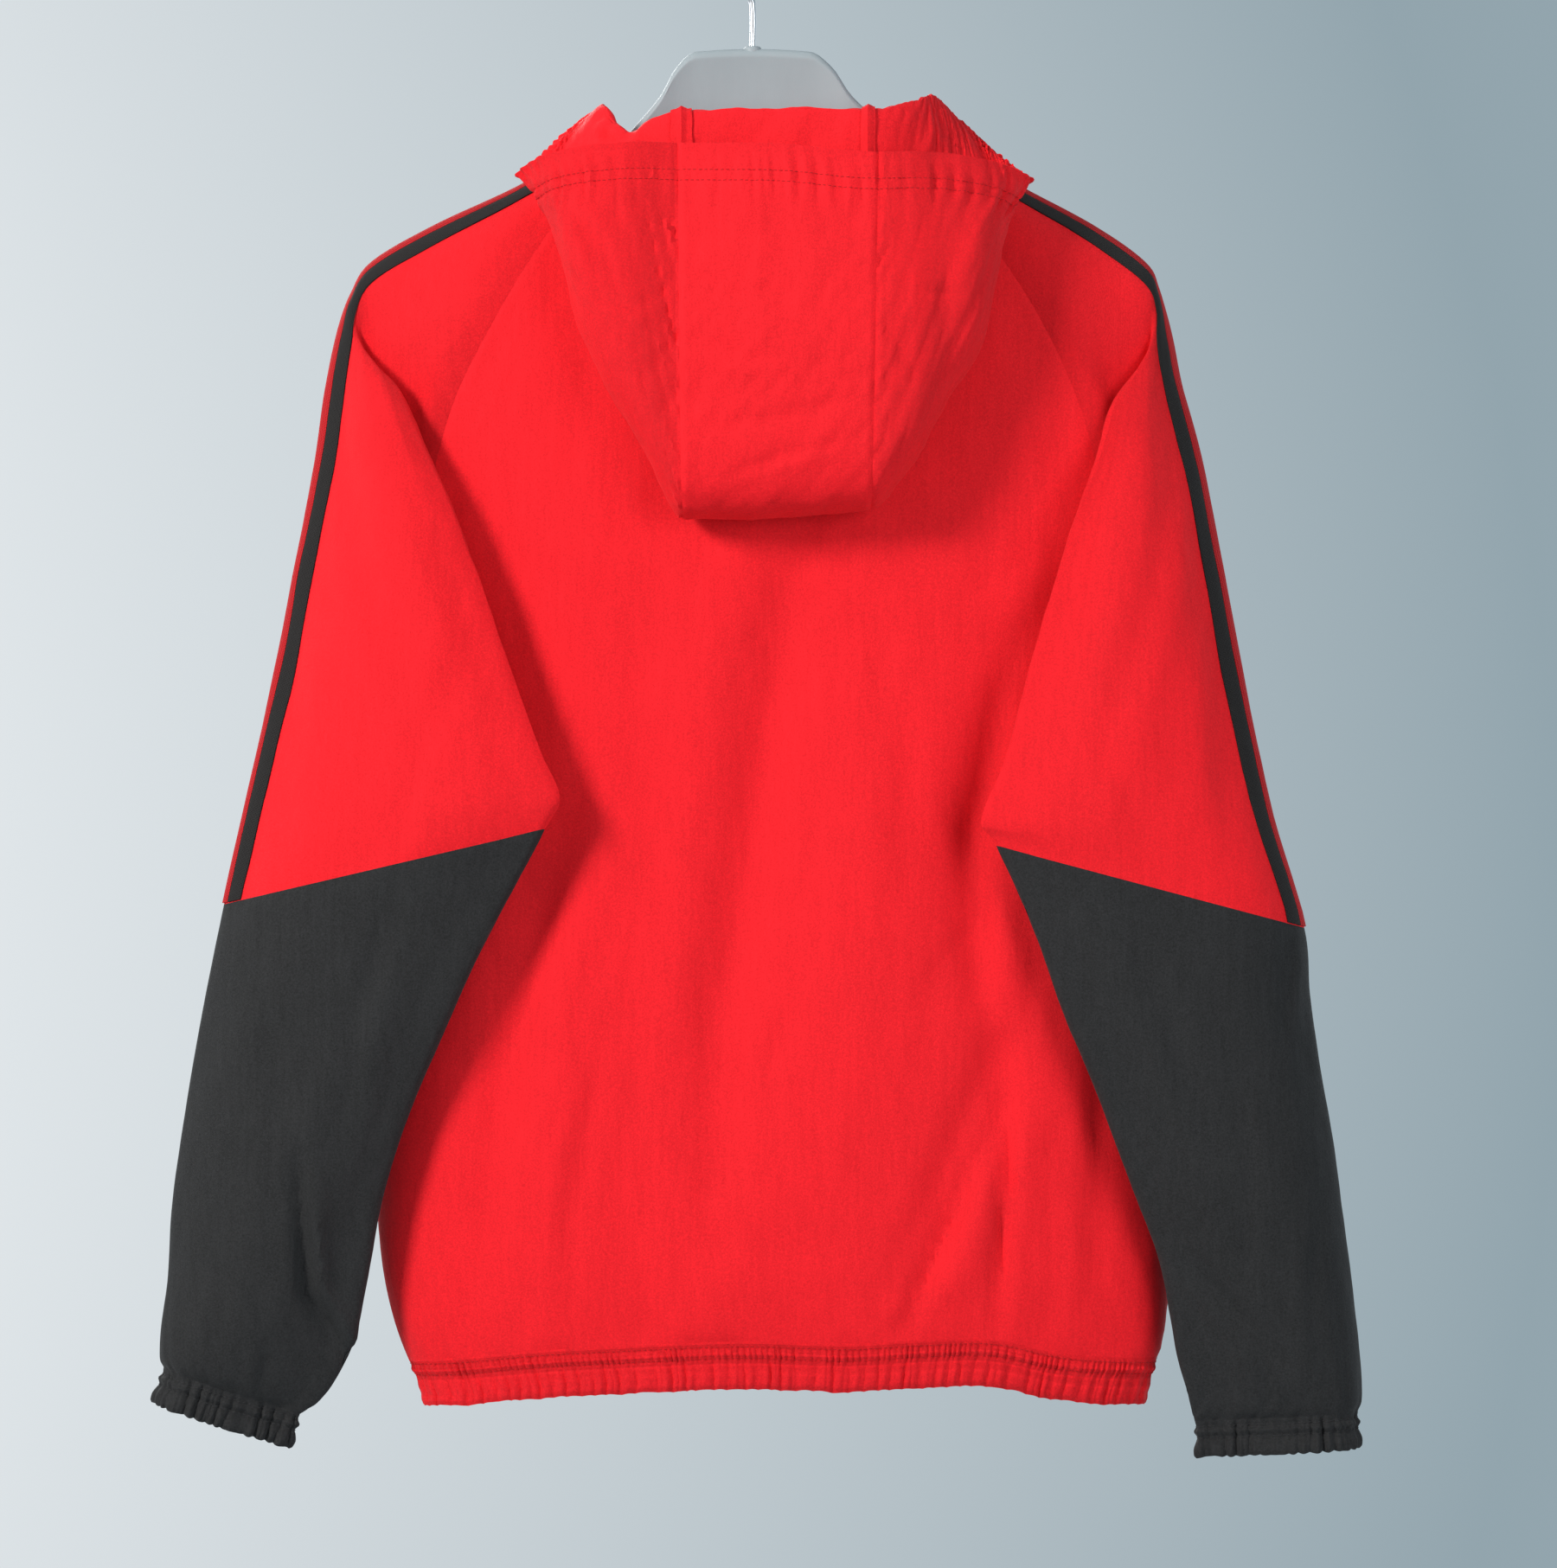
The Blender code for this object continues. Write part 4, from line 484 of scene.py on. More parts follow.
# the body
finer = 6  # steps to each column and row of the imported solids
body = {
    "round": 2.4, "zipHalf": 0.0045, "hemTop": -0.8080, "backNeckDrop": 0.0225, "frontNeckDrop": 0.0900,
    "backColumns": 16 * finer, "frontColumns": 8 * finer, "rows": 9 * finer + 26,
    "raglanRows": {"back": 11 * finer, "front": 8 * finer},
    "neck": {"left": (0.0900, -0.1165), "right": (-0.1070, -0.1165)},
    "armpit": {"left": (0.2000, -0.3915), "right": (-0.2175, -0.3915)},
    "levels": (  # z, left edge x, right edge x, half depth, middle y
        (-0.1165, 0.0905, -0.1075, 0.0300, 0.0000), (-0.1390, 0.1310, -0.1480, 0.0350, 0.0000),
        (-0.1650, 0.1840, -0.1960, 0.0360, 0.0000), (-0.1900, 0.2220, -0.2300, 0.0360, -0.0005),
        (-0.2200, 0.2330, -0.2400, 0.0365, -0.0010), (-0.3050, 0.2340, -0.2430, 0.0375, -0.0030),
        (-0.3550, 0.2140, -0.2290, 0.0390, -0.0045), (-0.3915, 0.2000, -0.2175, 0.0400, -0.0060),
        (-0.4940, 0.2080, -0.2260, 0.0430, -0.0080), (-0.6200, 0.2150, -0.2340, 0.0460, -0.0080),
        (-0.7440, 0.2165, -0.2400, 0.0470, -0.0080), (-0.7800, 0.2120, -0.2405, 0.0450, -0.0070),
        (-0.8080, 0.2040, -0.2370, 0.0410, -0.0060), (-0.8200, 0.1990, -0.2340, 0.0400, -0.0060),
        (-0.8400, 0.1900, -0.2270, 0.0380, -0.0060),
    ),
    "hemDrop": (
        (0.2040, 0.0120), (0.1700, 0.0095), (0.1230, 0.0045), (0.0750, 0.0015), (0.0050, -0.0015),
        (-0.0600, 0.0000), (-0.0950, -0.0020), (-0.1400, -0.0020), (-0.1710, 0.0050), (-0.2370, 0.0110),
    ),
    "raglan": {
        ("left", "back"): ((0.1160, -0.1700), (0.1495, -0.2240), (0.1700, -0.2650),
                            (0.1830, -0.3080), (0.1925, -0.3540)),
        ("right", "back"): ((-0.1320, -0.1700), (-0.1670, -0.2240), (-0.1860, -0.2650),
                            (-0.1985, -0.3080), (-0.2090, -0.3540)),
        ("left", "front"): ((0.1080, -0.1750), (0.1380, -0.2300), (0.1620, -0.2850), (0.1840, -0.3450)),
        ("right", "front"): ((-0.1240, -0.1750), (-0.1550, -0.2300), (-0.1790, -0.2850), (-0.2010, -0.3450)),
    },
    "folds": {  # x and z of the top, x and z of the bottom, half width, depth
        "back": (
            (-0.0350, -0.3500, 0.0150, -0.7300, 0.0300, 0.0055), (-0.0750, -0.4000, -0.0500, -0.7800, 0.0300, -0.0035),
            (0.1150, -0.4800, 0.1500, -0.7000, 0.0220, 0.0060), (-0.1400, -0.4300, -0.1250, -0.6200, 0.0180, 0.0060),
            (-0.1420, -0.6300, -0.0870, -0.7850, 0.0120, 0.0060), (-0.1500, -0.5900, -0.1420, -0.7850, 0.0110, 0.0060),
            (-0.1600, -0.6700, -0.1150, -0.7850, 0.0160, -0.0040), (0.1200, -0.5600, 0.1150, -0.7800, 0.0200, -0.0035),
            (0.0600, -0.4500, 0.0700, -0.7600, 0.0260, 0.0030),
        ),
        "front": (
            (0.0900, -0.3300, 0.0700, -0.7500, 0.0260, 0.0045), (-0.1150, -0.3000, -0.0900, -0.7600, 0.0280, 0.0050),
            (0.1500, -0.4500, 0.1350, -0.7700, 0.0180, 0.0040), (-0.1750, -0.5000, -0.1600, -0.7800, 0.0160, 0.0040),
        ),
    },
    "creases": {  # points in the photo's picture, half width and depth in mm, lean
        "back": (
            (((930, 600), (890, 880), (838, 1180), (830, 1420)), 19, 9.0, 0.3),
            (((1168, 740), (1122, 1000), (1150, 1260)), 10, 5.2, 0.6),
            (((1152, 1280), (1100, 1400), (1036, 1545)), 5.4, 4.2, -0.9),
            (((1166, 1270), (1160, 1400), (1150, 1545)), 4.8, 3.4, 0.8),
            (((908, 1170), (893, 1225), (897, 1290)), 3.4, 2.2, 0.7),
            (((1056, 1140), (1152, 1036)), 2.8, 1.4, 0.6),
            (((1030, 1200), (1120, 1098)), 3.2, 0.6, -0.6),
            (((636, 1370), (632, 1510)), 4.0, -1.1, 0.0),
            (((655, 965), (600, 1200), (560, 1480)), 12, 3.4, 0.6),
            (((700, 1200), (660, 1400), (668, 1550)), 8, 2.0, -0.6),
            (((760, 1330), (742, 1440), (750, 1550)), 5, 0.9, 0.5),
            (((1240, 1010), (1268, 1250), (1262, 1500)), 9, 2.8, -0.6),
            (((1205, 1330), (1222, 1440), (1212, 1550)), 4, 1.2, 0.6),
            (((960, 1330), (975, 1440), (968, 1548)), 6, 0.9, 0.6),
            (((1010, 700), (1050, 860), (1040, 1010)), 13, 2.2, 0.5),
            (((720, 700), (752, 860), (742, 1060)), 15, 2.4, -0.5),
            (((520, 520), (600, 640), (690, 700)), 8, 0.8, 0.5),
            (((1262, 520), (1190, 640), (1120, 690)), 8, 0.8, -0.5),
        ),
        "front": (
            (((700, 620), (742, 900), (716, 1250), (730, 1450)), 15, 1.6, -0.5),
            (((1080, 560), (1052, 900), (1090, 1240), (1070, 1470)), 14, 1.5, 0.5),
            (((560, 900), (600, 1150), (585, 1500)), 8, 1.8, 0.7),
            (((1240, 950), (1205, 1200), (1222, 1520)), 8, 1.7, -0.7),
            (((905, 1080), (960, 1010)), 3, 0.9, 0.6),
            (((840, 1200), (790, 1330), (770, 1540)), 4.5, 1.4, 0.8),
            (((985, 1260), (1010, 1400), (1002, 1548)), 4.0, 1.3, -0.8),
            (((640, 560), (600, 700), (570, 760)), 6, 1.0, 0.6),
            (((1150, 540), (1190, 680), (1225, 750)), 6, 1.0, -0.6),
        ),
    },
    "ribEdges": (-0.0120, -0.0050, 0.0020, 0.0090), "stripeEdges": (0.0090, 0.0155, 0.0220),
    "crumple": 0.00105, "fineCrumple": 0.00018, "gatherPitch": 0.0085,
}


def section(z):
    rows = np.array(body["levels"])[::-1]
    return np.moveaxis(cubic(rows[:, 0], rows[:, 1:], z), -1, 0)


def foldDepth(x, z, folds):
    total = np.zeros(np.broadcast(x, z).shape)
    for topX, topZ, lowX, lowZ, halfWidth, depth in folds:
        along = (topZ - z) / (topZ - lowZ)
        across = np.exp(-(((x - topX - (lowX - topX) * along) / halfWidth) ** 2))
        total = total + depth * across * np.clip(1 - (2 * along - 1) ** 2, 0, 1) ** 0.7
    return total


def onBody(x, z, face):
    x, z = np.broadcast_arrays(np.asarray(x, float), np.asarray(z, float))
    left, right, half, middle = section(z)
    offset = np.abs((x - (left + right) / 2) / ((left - right) / 2))
    dome = np.clip(1 - np.clip(offset, 0, 1) ** body["round"], 0, 1) ** (1 / body["round"])
    away = (half - foldDepth(x, z, body["folds"][face]) * np.clip(dome * 1.4, 0, 1)) * dome
    return np.stack([x, middle + away if face == "back" else middle - away, z], axis=-1)


def middleX(z):
    return np.interp(z, (-0.84, -0.2065), (-0.0190, -0.0085))


def neckCurve(side, face):
    sideX, sideZ = body["neck"][side]
    centre = (body["neck"]["left"][0] + body["neck"]["right"][0]) / 2
    x = sideX + (centre - sideX) * np.sin(np.linspace(0, math.pi / 2, 500)) ** 1.5
    reach = np.clip(1 - ((x - centre) / (sideX - centre)) ** 2, 0, 1)
    drop = body["backNeckDrop"] * reach if face == "back" else body["frontNeckDrop"] * reach**0.85
    return onBody(x, sideZ - drop, face)


def raglanCurve(side, face):
    far = body["stripeEdges"][-1] if face == "back" else -body["ribEdges"][0]
    start = pointsAt(neckCurve(side, face), [far])[0]
    endX, endZ = body["armpit"][side]
    flat = [(start[0], 0, start[2])] + [(x, 0, z) for x, z in body["raglan"][(side, face)]] + [(endX, 0, endZ)]
    line = openCurve(flat, body["raglanRows"][face] + 1)
    points = onBody(line[:, 0], line[:, 2], face)
    points[0] = start
    points[-1] = (endX, section(np.array(endZ))[3], endZ)
    return points


def acrossShares(count):
    angle = np.linspace(0, math.pi, 1441)
    x = np.sign(np.cos(angle)) * np.abs(np.cos(angle)) ** (2 / body["round"])
    y = 0.2 * np.abs(np.sin(angle)) ** (2 / body["round"])
    lengths = lengthsAlong(np.stack([x, y, 0 * x], axis=1))
    return np.interp(np.linspace(0, lengths[-1], count + 1), lengths, x)


def hemLevel(x):
    table = np.array(body["hemDrop"])[::-1]
    return body["hemTop"] - cubic(table[:, 0], table[:, 1], x)


def bodyRow(shares, down, face):
    top = body["armpit"]["left"][1]
    z = np.full(len(shares), top + (body["hemTop"] - top) * down)
    for _ in range(3):
        left, right, _, middle = section(z)
        x = (left + right) / 2 + (left - right) / 2 * shares
        z = top + (hemLevel(x) - top) * down
    row = onBody(x, z, face)
    edge = np.abs(np.abs(shares) - 1) < 1e-9
    row[edge, 1] = middle[edge]
    return row


def backGrid():
    shares = acrossShares(body["backColumns"])
    left, right = raglanCurve("left", "back"), raglanCurve("right", "back")
    count = body["raglanRows"]["back"]
    rows = []
    for i in range(count + 1):
        middle, half = (left[i] + right[i]) / 2, (left[i] - right[i]) / 2
        x = middle[0] + half[0] * shares
        if i == 0:
            centre = (body["neck"]["left"][0] + body["neck"]["right"][0]) / 2
            side = np.where(x > centre, body["neck"]["left"][0], body["neck"]["right"][0])
            z = body["neck"]["left"][1] - body["backNeckDrop"] * (1 - ((x - centre) / (side - centre)) ** 2)
            dip = left[0, 2] - z
        else:
            z = middle[2] + half[2] * shares - dip * (1 - i / count)
        row = onBody(x, z, "back")
        row[0], row[-1] = left[i], right[i]
        rows.append(row)
    rows += [bodyRow(shares, j / body["rows"], "back") for j in range(1, body["rows"] + 1)]
    return np.array(rows)


def frontGrid(side):
    sign = 1 if side == "left" else -1
    shares = acrossShares(2 * body["frontColumns"])[: body["frontColumns"] + 1]
    edge, neckline = raglanCurve(side, "front"), neckCurve(side, "front")
    count = body["raglanRows"]["front"]
    lengths = lengthsAlong(neckline)
    zipNeck = np.interp(body["zipHalf"], np.abs(neckline[::-1, 0] - neckline[-1, 0]), lengths[::-1])
    start, share = -body["ribEdges"][0], 1 - shares
    rows = [pointsAt(neckline, start + (zipNeck - start) * share)]
    endZ = rows[0][-1, 2]
    bow = rows[0][:, 2] - (edge[0, 2] + (endZ - edge[0, 2]) * share)
    for i in range(1, count + 1):
        down = i / count
        levelZ = endZ + (body["armpit"]["left"][1] - endZ) * down
        x = edge[i, 0] + (middleX(levelZ) + sign * body["zipHalf"] - edge[i, 0]) * share
        row = onBody(x, edge[i, 2] + (levelZ - edge[i, 2]) * share + bow * (1 - down), "front")
        row[0] = edge[i]
        rows.append(row)
    for j in range(1, body["rows"] + 1):
        row = bodyRow(sign * shares, j / body["rows"], "front")
        zipX = middleX(row[:, 2]) + sign * body["zipHalf"]
        fresh = onBody(row[0, 0] + (zipX - row[0, 0]) * share, row[:, 2], "front")
        fresh[0] = row[0]
        rows.append(fresh)
    return np.array(rows)


sewing = {"edge": 0.0024, "swell": 0.0005, "swellReach": 0.010, "pucker": 0.00035, "puckerReach": 0.009}


def seamRelief(away, along, seed, pucker=sewing["pucker"]):
    # the cloth swells beside a seam and puckers unevenly along it, but its edge stays put
    rise = 1 - np.exp(-((away / sewing["edge"]) ** 2))
    ripple = waves(along, along * 0, seed, 6, 0.007, 0.019, 0.0)
    swell = sewing["swell"] * np.exp(-away / sewing["swellReach"])
    return rise * (swell + pucker * ripple * np.exp(-away / sewing["puckerReach"]))


def risers(along, up, seed, count, span, low=0.010, high=0.045, depth=0.0009):
    # small puckers that rise from a gathered seam, each with its own height, width and slant
    dice = np.random.default_rng(seed)
    total = np.zeros(along.shape)
    for k in range(count):
        place = (k + dice.uniform(0.1, 0.9)) * span / count
        height, width = dice.uniform(low, high), dice.uniform(0.0016, 0.0034)
        slant = dice.normal(0, 0.16)
        strength = depth * dice.uniform(0.5, 1.3)
        spread = width * (1 + up / height)
        total -= strength * np.exp(-(((along - place - slant * up) / spread) ** 2)) * np.exp(-up / height)
    return total


def gathered(phase):
    # rounded puffs with narrow valleys between them
    return np.abs(np.sin(phase / 2)) ** 0.8 - 0.62


def bodyRelief(grid, facing, face, seed):
    down, over = distances(grid)
    under = down[-1] - down
    inside = over[:, -1:] - over
    crease = creaseDepth(grid[..., 0], grid[..., 2], body["creases"][face])
    calm = smooth(0, 0.012, over) * smooth(0, 0.012, inside) * smooth(0, 0.006, down) * smooth(0, 0.006, under)
    height = crease * calm
    # the crumple goes by x and z, so that no line shows where the armholes end
    height += waves(grid[..., 0], grid[..., 2], seed, 22, 0.018, 0.13, 0.34) * body["crumple"] * calm
    height += waves(grid[..., 0], grid[..., 2], seed + 1, 16, 0.007, 0.020, 0.6) * body["fineCrumple"] * calm
    height += seamRelief(over, down, seed + 2) + seamRelief(inside, down, seed + 3)
    height += seamRelief(down, over, seed + 4) + seamRelief(under, over, seed + 5, 0.0)
    span = float(over[-1, -1])
    gathers = risers(over, under, seed + 6, int(span / body["gatherPitch"]), span)
    height += gathers * smooth(0, 0.003, over) * smooth(0, 0.003, inside)
    return grid + gridNormals(grid) * facing * height[..., None]


backCloth = bodyRelief(backGrid(), -1, "back", 11)
frontCloth = {"left": bodyRelief(frontGrid("left"), 1, "front", 31),
              "right": bodyRelief(frontGrid("right"), -1, "front", 51)}
addShell("backPanel", backCloth, -1, "redShell", "back", straight=body["backColumns"] // 2)
addShell("frontLeft", frontCloth["left"], 1, "redShell", "front_left", straight=-1)
addShell("frontRight", frontCloth["right"], -1, "redShell", "front_right", straight=-1)
print("body panels made")


# the hem's elastic casing
hem = {
    "height": 0.0275, "waves": 104, "columns": 104 * 12, "rows": 22,
    # height down, outward swell, height of the gathers, height of the tucks in the elastic channel
    "profile": ((0.00, 0.0000, 0.0000, 0.0000), (0.06, -0.0002, 0.0004, 0.0003), (0.14, -0.0005, 0.0007, 0.0010),
                (0.25, 0.0006, 0.0006, 0.0016), (0.36, -0.0005, 0.0007, 0.0012), (0.45, -0.0002, 0.0012, 0.0004),
                (0.65, 0.0009, 0.0017, 0.0000), (0.88, 0.0010, 0.0015, 0.0000), (1.00, 0.0002, 0.0010, 0.0000)),
    "stitches": (0.130, 0.370), "drift": 0.0040, "uneven": 0.55, "slant": 2.2,
}


def hemGrid(edge):
    columns = hem["columns"]
    share = np.linspace(0, 1, columns + 1)
    fromZip = np.minimum(share, 1 - share)
    placket = np.clip((fromZip - 0.018) / 0.02, 0, 1)
    drift = share + waves(share, share * 0, 61, 9, 0.012, 0.12, 0.0) * hem["drift"] * smooth(0.0, 0.05, fromZip)
    phase = drift * hem["waves"] * 2 * math.pi
    uneven = 1 + hem["uneven"] * waves(share, share * 0, 62, 9, 0.006, 0.05, 0.0)
    slant = hem["slant"] * waves(share, share * 0, 63, 9, 0.010, 0.06, 0.0)
    second = waves(share, share * 0, 64, 9, 0.010, 0.06, 0.0)
    steps = np.linspace(0, 1, hem["rows"] + 1)
    table = np.array(hem["profile"])
    swell, size, tuck = cubic(table[:, 0], table[:, 1:], steps, level=True).T
    angle = np.linspace(0, 2 * math.pi, 2881) - math.pi / 2
    power = 2 / body["round"]
    first = pointsAt(edge, np.linspace(0, lengthsAlong(edge)[-1], columns + 1))
    rows = [first]
    for step, out, high, fineHigh in list(zip(steps, swell, size, tuck))[1:]:
        drop = hem["height"] * step
        z = np.full(len(angle), body["hemTop"] - drop)
        for _ in range(3):
            left, right, half, middle = section(z)
            x = (left + right) / 2 + (left - right) / 2 * np.sign(np.cos(angle)) * np.abs(np.cos(angle)) ** power
            z = hemLevel(x) - drop
        y = middle + half * np.sign(np.sin(angle)) * np.abs(np.sin(angle)) ** power
        loop = np.stack([x, y, z], axis=1)
        whole = lengthsAlong(loop)[-1]
        row = pointsAt(loop, np.linspace(body["zipHalf"], whole - body["zipHalf"], columns + 1))
        along = np.gradient(row, axis=0)
        outward = np.stack([along[:, 1], -along[:, 0], 0 * along[:, 0]], axis=1)
        outward /= np.linalg.norm(outward, axis=1)[:, None]
        ruffle = gathered(phase + slant * (step - 0.3)) * uneven
        ruffle = ruffle + gathered(1.7 * phase + 2.0 - slant * step) * (0.35 + 0.4 * second)
        tucks = gathered(phase * 2.4 + 0.6 * second) * (1 + 0.5 * second)
        row += outward * (out + high * ruffle + fineHigh * tucks)[:, None] * placket[:, None]
        row[:, 2] += (0.0006 * gathered(phase + slant) - 0.0005 * second) * step**3 * placket
        blend = smooth(0, 0.10, step)
        rows.append(row * blend + (first + np.array([0, 0, -drop])) * (1 - blend))
    return np.array(rows)


bodyEdge = np.concatenate([frontCloth["left"][-1][::-1], backCloth[-1][1:], frontCloth["right"][-1][1:]])
hemCloth = hemGrid(bodyEdge)
addShell("hemCasing", hemCloth, -1, "redCasing", "hem_casing", wall=0.0014)
print("hem made")


